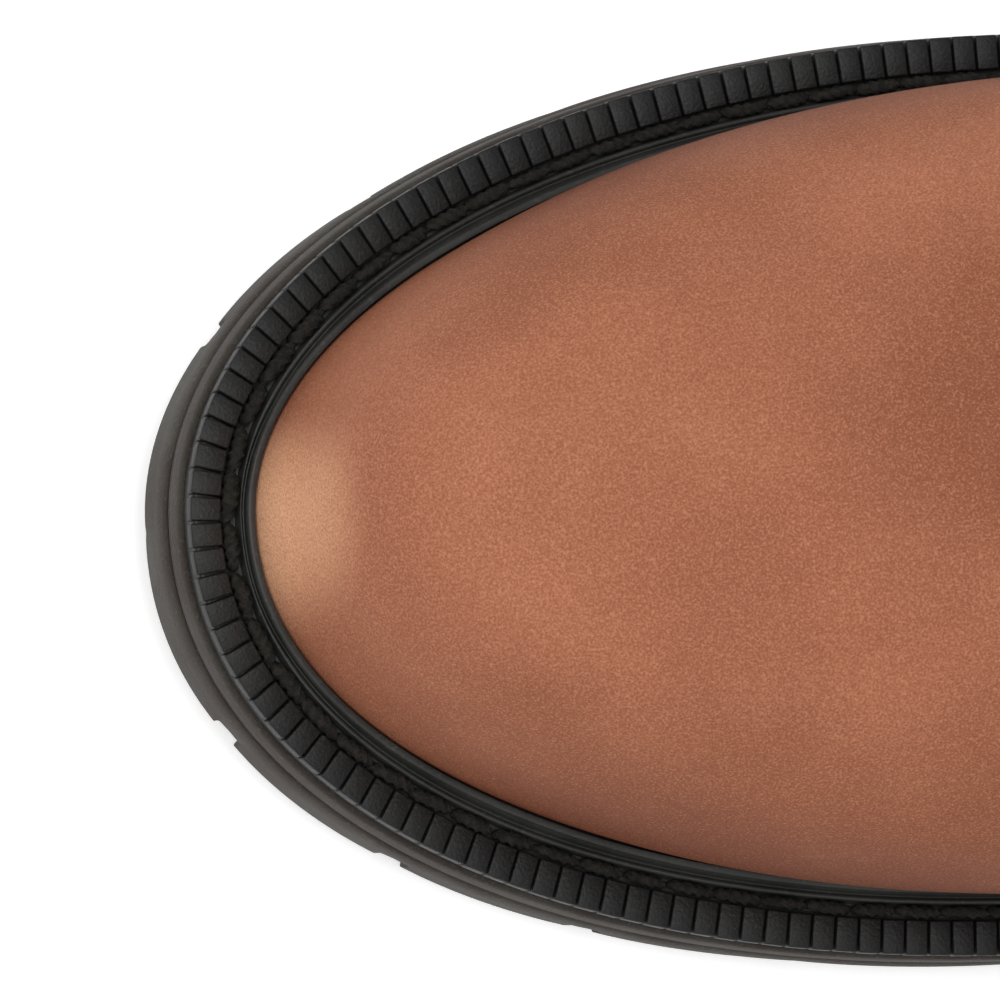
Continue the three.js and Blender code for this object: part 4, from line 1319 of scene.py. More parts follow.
    def bar_spots(self, bar: float, mid: float) -> Spots:
        """Places of the chevrons' arms, each `bar` long, where there is room for them.

        Args:
            bar: Length of one arm.
            mid: Their height over the tread root.

        Returns:
            The places.
        """
        places, ways = [], []
        for x in np.arange(self.last.toe_x + self.first_bar, self.lug_end, self.bar_pitch):
            for side in (1, -1):
                middle = x + math.sin(self.bar_turn) * bar / 2
                places.append((middle, side * bar / 2, float(self.last.tread(np.array(middle))) + mid))
                ways.append((-math.sin(side * self.bar_turn), math.cos(self.bar_turn), 0.0))
        at, along = np.array(places), np.array(ways)
        room = self.last.half_width(at[:, 0], 1) - (self.lug_band + self.channel - self.bar_room)
        keep = np.abs(at[:, 1]) < room
        return Spots.upright(at[keep], along[keep])

    def midsole(self) -> bpy.types.Object:
        """The midsole: a band with a moulded line round its edge, set in from the outsole."""
        shape = Shape()
        low, high = self.midsole_low, self.midsole_high
        t = turns(self.stations)
        levels = (
            (6, low), (0.75, low), (0.3, low + 1.1), (0.42, low + 1.5), (0.3, low + 1.9),
            (0.5, high - 0.3), (0.85, high), (6, high),
        )
        rails = [self.last.sole_line(t, inset, height) for inset, height in levels]
        plate(shape, rounded(rails, (0, 0.4, 0.2, 0.15, 0.2, 0.4, 0.4, 0), 2, closed=False), 6)
        return shape.make("midsole_rubber", 50)

    def heel_loop(self, inset: float, height: float) -> Array:
        """The heel's outline: round the back, and straight across the breast.

        Args:
            inset: Distance in from the outsole's edge.
            height: Height over the ground.

        Returns:
            Even points round the heel.
        """
        count = self.heel_stations
        front = self.last.heel_x - self.last.heel_length + inset
        xy = self.last.edge(np.linspace(0.2, 0.8, 900), inset)
        xy = xy[xy[:, 0] > front]
        y = np.linspace(xy[-1, 1], xy[0, 1], 40)[1:-1]
        bow = self.breast_bow * (1 - (2 * y / (xy[0, 1] - xy[-1, 1])) ** 2)
        closed = np.concatenate([xy, np.stack([front + bow, y], axis=-1), xy[:1]])
        run = np.concatenate([[0], np.cumsum(np.linalg.norm(np.diff(closed, axis=0), axis=1))])
        where = np.arange(count) / count * run[-1]
        loop = [np.interp(where, run, closed[:, k]) for k in (0, 1)]
        return np.stack([*loop, np.full(count, float(height))], axis=-1)

    def heel_layer(self, name: str, levels: Sequence[tuple[float, float]]) -> bpy.types.Object:
        """A layer of the heel, through (inset, height) pairs from its underside up.

        Args:
            name: The piece's name.
            levels: Pairs of inset and height.

        Returns:
            The object.
        """
        count = self.heel_stations
        loops = np.stack([self.heel_loop(inset, height) for inset, height in levels])
        last_row = (len(levels) - 1) * count
        caps = [list(range(count - 1, -1, -1)), [last_row + k for k in range(count)]]
        shape = Shape()
        shape.add(loops, grid_faces(len(levels), count, False, True), caps=caps)
        return shape.make(name, 40)

    def heel(self, high: float) -> list[bpy.types.Object]:
        """The heel base with its moulded line, and the grooved top lift under it.

        Args:
            high: Top of the base, over the ground.

        Returns:
            The base and the top lift.
        """
        low = self.lift_high + self.seam
        base = self.heel_layer("heel_base_rubber", (
            (1.5, low), (1.15, low + 0.25), (1.0, low + 0.8), (1.0, low + 6.2), (1.35, low + 6.5),
            (1.35, low + 6.9), (1.0, low + 7.2), (1.0, high - 0.5), (1.3, high),
        ))
        lift = self.heel_layer("heel_top_lift_rubber", (
            (1.6, 0.0), (0.8, 0.3), (0.45, 1.0), (0.4, 2.0), (0.4, self.lift_high - 0.6),
            (0.8, self.lift_high),
        ))
        half = self.slot_half
        for share in self.slot_shares:
            x = self.last.heel_x - (1 - share) * self.last.heel_length
            edge = float(self.last.half_width(np.array(x), 1))
            for side in (1, -1):
                slot = Shape()
                ends = sorted((side * (edge - self.slot_reach), side * (edge + 10)))
                box_shape(slot, (x - half, ends[0], -2), (x + half, ends[1], self.last.lug_depth))
                cut(lift, slot.make("slot"))
        return [base, lift]

    def build(self, finishes: Finishes) -> None:
        """Builds and dresses the sole unit."""
        settle(self.outsole(), Slot.SOLE, finishes.sole, "outsole")
        settle(self.midsole(), Slot.MIDSOLE, finishes.sole, "midsole")
        base, lift = self.heel(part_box("heel_base")[1].z / MM)
        settle(base, Slot.SOLE, finishes.sole, "heel_base")
        settle(lift, Slot.SOLE, finishes.sole, "heel_top_lift")


def metres(sizes: dict[str, float]) -> dict[str, float]:
    """Sizes given in millimetres, as metres."""
    return {key: value * MM for key, value in sizes.items()}


def box_shape(shape: Shape, low: Sequence[float], high: Sequence[float]) -> None:
    """Adds a plain box to cut with."""
    points = np.array([(x, y, z) for x in (low[0], high[0]) for y in (low[1], high[1])
                       for z in (low[2], high[2])], float)
    faces = [[0, 1, 3, 2], [4, 6, 7, 5], [0, 4, 5, 1], [2, 3, 7, 6], [0, 2, 6, 4], [1, 5, 7, 3]]
    shape.add(points, np.array(faces))


def cut(piece: bpy.types.Object, cutter: bpy.types.Object) -> None:
    """Takes one closed mesh out of another.

    Args:
        piece: What is cut.
        cutter: What is taken out of it, which is removed.
    """
    boolean = piece.modifiers.new("cut", "BOOLEAN")
    boolean.object = cutter
    boolean.operation = "DIFFERENCE"
    boolean.solver = "EXACT"
    ready = piece.evaluated_get(bpy.context.evaluated_depsgraph_get())
    made = bpy.data.meshes.new_from_object(ready)
    piece.modifiers.clear()
    piece.data = made
    bpy.data.objects.remove(cutter)


def join(name: str, pieces: Sequence[bpy.types.Object]) -> bpy.types.Object:
    """Puts several meshes into the first one.

    Args:
        name: The name that the first one gets.
        pieces: The meshes.

    Returns:
        The first one.
    """
    work = bmesh.new()
    for piece in pieces:
        work.from_mesh(piece.data)
    work.to_mesh(pieces[0].data)
    work.free()
    for piece in pieces[1:]:
        bpy.data.objects.remove(piece)
    pieces[0].name = name
    return pieces[0]


@dataclass
class StormWelt:
    """The ribbed welt, its upstand against the upper, and the thread sewn through it."""

    last: Last
    stations: int = 900
    low: float = 8.8
    high: float = 12.2
    outer: float = 0.95
    stitch_tip: float = 6.1
    stitch_side: float = 0.62
    channel_side: float = 1.0
    channel_tip: float = 1.35
    floor: float = 11.2
    lip_height: float = 0.3
    lip_gap: float = 0.3
    lip_wall: float = 1.0
    inner: float = 8.0
    rib_pitch: float = 3.08
    rib_gap: float = 0.29
    rib_rise: float = 0.62
    rib_width: float = 4.0
    rib_sunk: float = 1.2
    stitch_pitch: float = 6.0
    stitch_rise: float = 0.95
    ridge_back: float = 0.55
    ridge_room: float = 1.15
    ridge_rise: float = 0.75
    groove_back: float = 0.42
    groove_room: float = 0.75
    groove_rise: float = 0.35
    draft: float = 0.15

    def tip(self, t: Array) -> Array:
        """1 at the very front of the toe, falling to 0 along the sides."""
        x = self.last.edge(t)[..., 0]
        return np.clip(1 - (x - self.last.toe_x) / self.last.tip_reach, 0, 1) ** 1.5

    def stitch_line(self, t: Array) -> Array:
        """How far in from the outsole's edge the thread lies."""
        side = self.stitch_side * self.last.side_flange(t)
        return side + (self.stitch_tip - side) * self.tip(t)

    def half(self, t: Array) -> Array:
        """Half the width of the thread's channel, which is widest at the tip."""
        return self.channel_side + (self.channel_tip - self.channel_side) * self.tip(t)

    def welt(self) -> bpy.types.Object:
        """The swept body of the welt: outer band, channel, ridge, groove and upstanding lip."""
        t = turns(self.stations)
        low, high, draft = self.low, self.high, self.draft
        flange, half = self.last.flange(t), self.half(t)
        wall_out, wall_in = self.stitch_line(t) - half, self.stitch_line(t) + half
        ridge = np.minimum(wall_in + self.ridge_back, flange - self.ridge_room)
        groove = np.minimum(ridge + self.groove_back, flange - self.groove_room)

        def line(inset: Array | float, height: float) -> Array:
            """A line round the sole."""
            return self.last.sole_line(t, inset, height)

        def lip(height: float, out: float) -> Array:
            """A line round the lip, `out` from the upper's leather."""
            return self.last.skin(t, np.full_like(t, height), out)

        lip_out = lip(self.lip_height - 0.06, self.lip_gap + self.lip_wall)
        rails = [
            line(self.outer + 0.3, low), line(self.outer + 0.55, high - 0.8),
            line(self.outer + 0.9, high - 0.4), line(wall_out - 0.1, high - 0.3),
            line(wall_out + draft, self.floor), line(wall_in - draft, self.floor),
            line(wall_in, high + 0.7), line(ridge, high + self.ridge_rise),
            line(ridge + 0.14, high + 0.3), line(groove, high + self.groove_rise),
            (line(groove, high + 1.2) + lip_out) / 2, lip_out,
            lip(self.lip_height, self.lip_gap + self.lip_wall * 0.8), lip(self.lip_height, self.lip_gap),
            line(flange - self.lip_gap, high), line(flange + self.inner, high),
            line(flange + self.inner, low),
        ]
        radii = (0.1, 0.2, 0.2, 0.3, 0.3, 0.3, 0.3, 0.25, 0.12, 0.2, 0.5, 0.22, 0.15, 0.12, 0.1, 0, 0)
        return swept_ring("storm_welt_rubber", rounded(rails, radii, 2), 50)

    def ribs(self, finish: bpy.types.Material) -> bpy.types.Object:
        """The blocks along the welt's outer band.

        Args:
            finish: Their material.

        Returns:
            One mesh of all the ribs.
        """
        t = turns(self.stations)
        inner = self.stitch_line(t) - self.half(t)
        middle = self.high + self.rib_rise / 2 - self.rib_sunk / 2
        at = self.last.sole_line(t, (self.outer + inner) / 2, middle)
        up = np.cross(self.last.outward(t), np.gradient(at, axis=0))
        up /= np.linalg.norm(up, axis=1, keepdims=True)
        up *= np.sign(up[:, 2:])
        wide = (inner - self.outer) / self.rib_width
        stretch = np.stack([np.ones_like(wide), wide, np.ones_like(wide)], axis=-1)
        spots = Spots.on(at, up, self.rib_pitch, True, stretch).uneven(seed=3, size=0.012, tilt=0.02)
        sizes = metres({
            "Length": self.rib_pitch - self.rib_gap, "Width": self.rib_width,
            "Height": self.rib_rise + self.rib_sunk, "Edge": 0.22,
        })
        return Repeat("welt_ribs", sizes, finish).blocks().lay("welt_ribs", spots)

    def thread(self, finish: bpy.types.Material) -> bpy.types.Object:
        """The lockstitches, each a length of twisted thread that dips into the channel.

        Args:
            finish: Its material.

        Returns:
            One mesh of all the stitches.
        """
        t = turns(self.stations)
        at = self.last.sole_line(t, self.stitch_line(t), self.floor + self.stitch_rise)
        thick = self.half(t) / self.channel_tip
        stretch = np.stack([np.ones_like(thick), thick, thick], axis=-1)
        out = np.tile(UPRIGHT, (len(t), 1))
        spots = Spots.on(at, out, self.stitch_pitch, True, stretch).uneven(seed=5, size=0.1, tilt=0.16)
        sizes = metres({"Length": self.stitch_pitch * 1.05, "Radius": 1.0, "Arch": 0.75})
        sizes |= {"Lobe": 0.3, "Twist": 4.8, "Sides": 18, "Rings": 15}
        return Repeat("welt_stitches", sizes, finish).stitches().lay("welt_thread_visual", spots)

    def build(self, finishes: Finishes) -> None:
        """Builds and dresses the welt."""
        settle(self.welt(), Slot.WELT, finishes.welt, "storm_welt")
        settle(self.ribs(finishes.ribs), Slot.WELT, finishes.ribs)
        settle(self.thread(finishes.thread), Slot.THREAD, finishes.thread, "welt_thread")


@dataclass(frozen=True)
class Panel:
    """Where one panel of the upper lies: its side edges, its lower and upper lines and its faces."""

    left: Line
    right: Line
    low: Line
    high: Line
    outer: float
    inner: float
    width: float
    height: float
    columns: int
    rows: int


# Each crease over the instep: its height in hoops, its depth in millimetres and how far it slants.
CREASES = ((6.2, 0.22, 2.2), (7.0, -0.3, -1.6), (7.75, 0.26, 1.2), (9.4, -0.32, 0.9), (10.3, 0.25, -0.7))


@dataclass
class Upper:
    """Vamp, counter and shaft, their seams and stitching, piping, binding and lining."""

    last: Last
    leather: float = 2.2
    shaft_leather: float = 2.0
    lining_wall: float = 1.0
    glue: float = 0.45
    gap: float = 0.15
    cover_side: float = 7.2
    vamp_peak: float = 2.5
    counter_peak: float = 1.7
    lap: float = 0.9
    binding_depth: float = 8.0
    binding_wall: float = 1.0
    binding_ease: float = 0.3
    piping_radius: float = 1.2
    stitch_pitch: float = 3.0
    seam_foot: float = 0.345
    seam_top: float = 0.25
    per_hoop: float = 16.0

    def __post_init__(self) -> None:
        """Works out the layers' offsets from the outer skin."""
        self.shaft_out = -self.leather - self.glue
        self.shaft_in = self.shaft_out - self.shaft_leather
        self.lining_out = self.shaft_in - self.glue
        self.lining_in = self.lining_out - self.lining_wall
        self.binding_edge = self.last.top - self.binding_depth / self.last.top_rise
        self.binding_out = self.shaft_out + self.binding_ease + self.binding_wall

    def seam_turn(self, height: Array, margin: float = 0.0) -> Array:
        """Turn of the outer side seam at a height, moved forward by a margin in millimetres."""
        height = np.asarray(height, float)
        climb = smooth(np.clip((height - 1) / (self.last.top - 1), 0, 1))
        turn = self.seam_foot + (self.seam_top - self.seam_foot) * climb
        step = 0.01
        span = self.last.upper(turn + step, height) - self.last.upper(turn - step, height)
        return turn - margin / (np.linalg.norm(span, axis=-1) / (2 * step))

    def cover_top(self, turn: Array) -> Array:
        """Height of the vamp's and the counter's top edge, in hoops."""
        wrapped = np.mod(np.asarray(turn, float) + 0.5, 1.0) - 0.5
        vamp = self.vamp_peak * np.maximum(0, np.cos(math.pi * wrapped / 0.6)) ** 3
        back = np.mod(np.asarray(turn, float), 1.0) - 0.5
        counter = self.counter_peak * np.maximum(0, np.cos(math.pi * back / 0.42)) ** 2
        return self.cover_side + vamp + counter

    def crease(self, turn: Array, height: Array) -> Array:
        """How far the leather is pressed out or in by walking, in millimetres.

        Args:
            turn: Places round the boot.
            height: Heights on the upper, in hoops.

        Returns:
            Distance out from the smooth skin.
        """
        wrapped = np.mod(turn + 0.5, 1.0) - 0.5
        front = np.exp(-(wrapped / 0.13) ** 2)
        waves = np.zeros_like(height)
        for middle, size, tilt in CREASES:
            at = height - middle - tilt * wrapped
            waves += size * np.exp(-((at / 0.3) ** 2)) - 0.45 * size * np.exp(-(((at - 0.5) / 0.35) ** 2))
        rear = np.exp(-((np.mod(turn, 1.0) - 0.5) / 0.12) ** 2)
        ankle = 0.3 * np.sin((height - 9.5) * 3.1) * np.exp(-((height - 10.2) / 1.1) ** 2)
        return front * waves + rear * ankle

    def surface(self, turn: Array, height: Array, offset: Array | float) -> Array:
        """The creased skin at an offset."""
        return self.last.skin(turn, height, np.asarray(offset) + self.crease(turn, height))

    def panel(self, name: str, panel: Panel, sharp: float = 50.0) -> bpy.types.Object:
        """A panel of leather or cloth with rolled edges, closed all round.

        Args:
            name: The piece's name.
            panel: Where it lies.
            sharp: As in Shape.make.

        Returns:
            The object.
        """
        radius = (panel.outer - panel.inner) / 2
        a = spread(panel.columns, panel.width, radius)[None, :]
        b = spread(panel.rows, panel.height, radius)[:, None]
        height = np.broadcast_to(b * self.last.top, (b.size, a.size)).copy()
        turn = np.zeros_like(height)
        for _ in range(14):
            turn = panel.left(height) + (panel.right(height) - panel.left(height)) * a
            height = panel.low(turn) + (panel.high(turn) - panel.low(turn)) * b
        thick = radius
        for share, size in ((a, panel.width), (b, panel.height)):
            near = np.minimum(share, 1 - share) * size
            thick = thick * np.sqrt(np.clip(1 - (1 - np.clip(near / radius, 0, 1)) ** 2, 0, 1))
        middle = (panel.outer + panel.inner) / 2
        out, back = (self.surface(turn, height, middle + way * thick) for way in (1, -1))
        faces = grid_faces(b.size, a.size)
        both = np.concatenate([out.reshape(-1, 3), back.reshape(-1, 3)])
        uv = run_uv(out).reshape(-1, 2)
        whole = np.concatenate([faces, faces[:, ::-1] + a.size * b.size])
        shape = Shape()
        shape.add(both, whole, np.concatenate([uv, uv]))
        return shape.make(name, sharp)

    def front(self, margin: float) -> tuple[Line, Line]:
        """Side edges of a front panel."""
        return lambda h: -self.seam_turn(h, margin), lambda h: self.seam_turn(h, margin)

    def rear(self, margin: float) -> tuple[Line, Line]:
        """Side edges of a back panel."""
        return lambda h: self.seam_turn(h, -margin), lambda h: 1 - self.seam_turn(h, -margin)

    def panels(self, finishes: Finishes) -> None:
        """Builds the leather and lining panels.

        Args:
            finishes: The boot's materials.
        """

        def sole(turn: Array) -> Array:
            """The feather line."""
            return np.zeros_like(turn)

        def collar(turn: Array) -> Array:
            """The collar's edge."""
            return np.full_like(turn, self.last.top)

        def lapped(turn: Array) -> Array:
            """The shaft's lower edge, under the vamp and the counter."""
            return self.cover_top(turn) - self.lap

        slot = self.piping_radius + 0.6
        cover = (sole, self.cover_top, 0.0, -self.leather)
        shaft = (lapped, collar, self.shaft_out, self.shaft_in)
        cloth = (sole, collar, self.lining_out, self.lining_in)
        leather, lining = (Slot.LEATHER, finishes.leather), (Slot.LINING, finishes.lining)
        front, rear = self.front(self.gap), self.rear(self.gap)
        slot_front, slot_rear = self.front(slot), self.rear(slot)
        kinds = (
            ("vamp_panel", "vamp", Panel(*front, *cover, 420, 100, 260, 110), leather),
            ("counter_panel", "counter_cover", Panel(*rear, *cover, 150, 90, 130, 80), leather),
            ("shaft_front_panel", "shaft_front", Panel(*slot_front, *shaft, 170, 120, 150, 110), leather),
            ("shaft_back_panel", "shaft_back", Panel(*slot_rear, *shaft, 160, 120, 140, 110), leather),
            ("lining_front_cloth", "lining_front", Panel(*front, *cloth, 300, 200, 140, 100), lining),
            ("lining_back_cloth", "lining_back", Panel(*rear, *cloth, 300, 200, 140, 100), lining),
        )
        for name, node, panel, (record_slot, finish) in kinds:
            settle(self.panel(name, panel), record_slot, finish, node)

    def binding(self) -> bpy.types.Object:
        """The folded strip over the collar's edge."""
        t = turns(480)
        ease, wall = self.binding_ease, self.binding_wall
        out, inside = self.binding_out, self.lining_in - ease - wall

        def up(offset: float, lift: float) -> Array:
            """A line over the collar's edge."""
            return self.surface(t, np.full_like(t, self.last.top), offset) + np.array([0, 0, lift])

        def low(offset: float) -> Array:
            """A line along the binding's hem."""
            return self.surface(t, np.full_like(t, self.binding_edge), offset)

        rails = [
            low(out), (low(out) + up(out, ease)) / 2, up(out, 0.1), up(out - wall, ease + wall),
            up(inside + wall, ease + wall), up(inside, 0.1), (low(inside) + up(inside, ease)) / 2,
            low(inside), low(inside + wall), up(inside + wall, ease), up(out - wall, ease), low(out - wall),
        ]
        radii = (0.45, 0, 1.4, 1.2, 1.2, 1.4, 0, 0.45, 0.45, 0.2, 0.2, 0.45)
        return swept_ring("collar_binding_strip", rounded(rails, radii, 4), 60)

    def piping(self, side: Side) -> bpy.types.Object:
        """The bead in the slot between the shaft's front and back.

        Args:
            side: Which side of the foot.

        Returns:
            The object.
        """
        height = np.linspace(self.cover_side + 0.1, self.binding_edge - 0.05, 120)
        turn = side.value * self.seam_turn(height)
        line = self.surface(turn, height, self.shaft_out - self.piping_radius / 2)
        out = self.surface(turn, height, 1.0) - self.surface(turn, height, 0.0)
        shape = Shape()
        tube(shape, line, out, self.piping_radius, 20)
        return shape.make(f"side_piping_{side.label}_bead", 60)

    def row(self, turn: Array, height: Array, offset: float, lift: float = 0.12) -> Spots:
        """Stitches along a line on the leather."""
        line = self.surface(turn, height, offset + lift)
        out = self.surface(turn, height, offset + 1.0) - self.surface(turn, height, offset)
        return Spots.on(line, out, self.stitch_pitch)

    def seams(self) -> Spots:
        """Rows of stitches: two along each panel's top edge and beside each side seam."""
        rows: list[Spots] = []
        u = np.linspace(0, 1, 700)
        edge = self.seam_turn(np.array(self.cover_side), 3.0)
        clear = edge + 0.012  # the back rows start a little past the side seam
        for inset in (2.6, 5.4):
            for turn in (-edge + 2 * edge * u, (1 - u) * clear + u * (1 - clear)):
                rows.append(self.row(turn, self.cover_top(turn) - inset / self.per_hoop, 0.0))
        low = np.linspace(0.9, self.cover_side - 0.2, 400)
        high = np.linspace(self.cover_side + 0.25, self.binding_edge - 0.05, 400)
        for side in Side:
            for height, margin, offset in ((low, 2.8, 0.0), (high, 4.4, self.shaft_out)):
                for way in (margin, -margin):
                    rows.append(self.row(side.value * self.seam_turn(height, way), height, offset))
        hem = np.full_like(u[:-1], self.binding_edge + 2.2 / self.last.top_rise)
        rows.append(self.row(u[:-1], hem, self.binding_out))
        return Spots.joined(rows)

    def build(self, finishes: Finishes) -> None:
        """Builds and dresses the upper."""
        self.panels(finishes)
        settle(self.binding(), Slot.TRIM, finishes.trim, "collar_binding")
        for side in Side:
            settle(self.piping(side), Slot.TRIM, finishes.trim, f"side_piping_{side.label}")
        repeat = seam_stitch("upper_stitches", self.stitch_pitch * 0.86, 0.42, finishes.seam_thread)
        settle(repeat.lay("upper_stitching", self.seams()), Slot.LEATHER, finishes.seam_thread)


def seam_stitch(name: str, length: float, radius: float, finish: bpy.types.Material) -> Repeat:
    """A plain stitch of sewing thread, for a repeat."""
    sizes = metres({"Length": length, "Radius": radius, "Arch": 0.3})
    sizes |= {"Lobe": 0.0, "Twist": 0.0, "Sides": 7, "Rings": 6}
    return Repeat(name, sizes, finish).stitches()


def spread(count: int, size: float, radius: float) -> Array:
    """Shares from 0 to 1, close together where an edge `size` long is rounded at both ends."""
    near = np.array([0.0, 0.03, 0.12, 0.28, 0.5, 0.75, 1.05, 1.8]) * radius / size
    middle = np.linspace(near[-1], 1 - near[-1], count)[1:-1]
    return np.concatenate([near, middle, 1 - near[::-1]])


def tube(shape: Shape, line: Array, out: Array, radius: float, sides: int) -> None:
    """Adds a round bead along a line, with domed ends.

    Args:
        shape: What the bead is added to.
        line: Points of its middle.
        out: A direction across it at each.
        radius: Half its thickness.
        sides: Faces round it.
    """
    along = np.gradient(line, axis=0)
    along /= np.linalg.norm(along, axis=1, keepdims=True)
    side = np.cross(along, out)
    side /= np.linalg.norm(side, axis=1, keepdims=True)
    up = np.cross(side, along)
    dome = np.linspace(0, math.pi / 2, 5)[:-1]
    rings = [(0, -math.cos(a), math.sin(a)) for a in dome] + [(i, 0.0, 1.0) for i in range(len(line))]
    rings += [(len(line) - 1, math.cos(a), math.sin(a)) for a in dome[::-1]]
    angle = np.linspace(0, 2 * math.pi, sides, endpoint=False)
    rows = []
    for i, forward, wide in rings:
        round_it = np.cos(angle)[:, None] * side[i] + np.sin(angle)[:, None] * up[i]
        rows.append(line[i] + along[i] * forward * radius + round_it * radius * wide)
    shape.add(np.stack(rows), grid_faces(len(rows), sides, False, True))


@dataclass
class PullLoops:
    """Webbing folded double, sewn to the shaft, with its free end standing over the collar."""

    last: Last
    upper: Upper
    width: float = 25.0
    wall: float = 1.25
    opening: float = 4.2
    tail: float = 21.0
    clear: float = 0.3
    hinge_rise: float = 1.3
    bend_half: float = 1.6
    straighten: float = 8.0
    stitch_inset: float = 2.8
    stitch_pitch: float = 2.6

    def __post_init__(self) -> None:
        """Works out the webbing's seat on the binding, and millimetres in a turn of the collar."""
        top = self.last.top
        step = self.last.upper(0.26, top) - self.last.upper(0.24, top)
        self.per_turn = np.linalg.norm(step) / 0.02
        self.seat = self.upper.binding_out + self.clear

    def strip(self, side: Side) -> bpy.types.Object:
        """One loop, from its sewn end up over the crown and back down.

        Args:
            side: Which side of the foot.

        Returns:
            The object.
        """
        last = self.last
        inner = self.seat + self.wall / 2 + 0.04
        outer = inner + self.wall + 0.06
        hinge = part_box(f"pull_loop_{side.label}")
        hinge_z = hinge[0].z / MM + self.hinge_rise
        centre_y = self.hinge_y(side)
        crown_z = hinge[1].z / MM - self.opening - self.wall / 2 - self.clear
        radius = self.opening + self.wall / 2
        across = np.linspace(-0.5, 0.5, 15)
        foot = np.linspace(last.top - self.tail / last.top_rise, last.top, 26)
        turn = side.value * (self.upper.seam_top + across * self.width / self.per_turn)

        def on_shaft(height: float, offset: float) -> Array:
            """A row of the sewn part, across the webbing."""
            return last.skin(turn, np.full_like(turn, height), offset)

        rows = [on_shaft(h, inner) for h in foot]
        hinge_row = rows[-1]
        x = hinge_row[:, 0].mean() + np.sign(hinge_row[-1, 0] - hinge_row[0, 0]) * across * self.width
        half = (outer - inner) / 2

        def free(y: float, z: float) -> Array:
            """A row of the free part, which straightens as it leaves the curved collar."""
            lift = np.clip((z - hinge_z) / self.straighten, 0, 1)
            flat = np.full_like(x, side.value * y)
            curved = side.value * (y + (np.abs(hinge_row[:, 1]) - np.abs(hinge_row[:, 1]).max()))
            return np.stack([x, flat * lift + curved * (1 - lift), np.full_like(x, z)], axis=-1)

        def leg(z: float, way: int) -> Array:
            """A row of the inner (-1) or outer (1) leg, which spreads towards the crown."""
            grow = smooth(np.clip((z - hinge_z) / (crown_z - hinge_z), 0, 1))
            return free(centre_y + way * (half + (radius - half) * grow), z)

        climb = np.linspace(hinge_z - 0.6, crown_z, 22)
        rows += [leg(z, -1) for z in climb]
        for angle in np.linspace(math.pi, 0, 26)[1:-1]:
            rows.append(free(centre_y + radius * math.cos(angle), crown_z + radius * math.sin(angle)))
        rows += [leg(z, 1) for z in climb[::-1]]
        rows += [on_shaft(h, outer) for h in foot[::-1]]
        shape = Shape()
        band(shape, np.stack(rows), self.wall)
        return shape.make(f"pull_loop_{side.label}_webbing", 60)

    def hinge_y(self, side: Side) -> float:
        """Distance of the fold's axis from the boot's middle."""
        low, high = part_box(f"pull_loop_{side.label}")
        return abs(low.y + high.y) / 2 / MM

    def stitching(self, side: Side) -> Spots:
        """A boxed cross of stitches that holds the webbing down.

        Args:
            side: Which side of the foot.

        Returns:
            The places of the stitches.
        """
        last = self.last
        offset = self.seat + 2 * self.wall + 0.25
        low = last.top - (self.tail - 2.5) / last.top_rise
        high = last.top - 3.0 / last.top_rise
        half = (self.width / 2 - self.stitch_inset) / self.per_turn
        box = ((-half, low), (half, low), (half, high), (-half, high), (-half, low), (half, high))
        u = np.linspace(0, 1, 60)
        rows = []
        for chain in (box, ((half, low), (-half, high))):
            for (t0, h0), (t1, h1) in zip(chain, chain[1:]):
                turn = side.value * (self.upper.seam_top + t0 + (t1 - t0) * u)
                height = h0 + (h1 - h0) * u
                line = last.skin(turn, height, offset)
                out = last.skin(turn, height, offset + 1) - line
                rows.append(Spots.on(line, out, self.stitch_pitch))
        return Spots.joined(rows)

    def build(self, finishes: Finishes) -> None:
        """Builds and dresses both loops, shaped where they cross the fold.

        Args:
            finishes: The boot's materials.
        """
        for side in Side:
            strip = self.strip(side)
            strip.data.materials.append(finishes.webbing)
            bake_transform(strip)
            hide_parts(f"pull_loop_{side.label}", f"pull_loop_tail_{side.label}")
            LOG.info("%s: %d faces across the fold", strip.name, len(strip.data.polygons))
            repeat = seam_stitch("loop_stitches", 2.3, 0.4, finishes.seam_thread)
            stitches = repeat.lay(f"loop_stitching_{side.label}", self.stitching(side))
            settle(stitches, Slot.WEBBING, finishes.seam_thread)


def band(shape: Shape, middle: Array, wall: float) -> None:
    """Adds a flat strip of webbing, `wall` thick, about a grid of points along and across it.

    Args:
        shape: What the strip is added to.
        middle: Rows of points along the strip's middle.
        wall: Its thickness.
    """
    along = np.gradient(middle, axis=0)
    across = np.gradient(middle, axis=1)
    normal = np.cross(along, across)
    normal /= np.linalg.norm(normal, axis=-1, keepdims=True)
    columns = middle.shape[1]
    share = np.linspace(-1, 1, columns)
    half = wall / 2 * np.sqrt(np.clip(1 - np.abs(share) ** 8, 0.12, 1))[None, :, None]
    top, under = middle + normal * half, middle - normal * half
    section = np.concatenate([top, under[:, ::-1]], axis=1)
    rows, around = section.shape[:2]
    uv = run_uv(middle)
    uv = np.concatenate([uv, uv[:, ::-1]], axis=1)
    last_row = (rows - 1) * around
    ends = [list(range(around)), [last_row + k for k in range(around)][::-1]]
    shape.add(section, grid_faces(rows, around, False, True), uv, caps=ends)


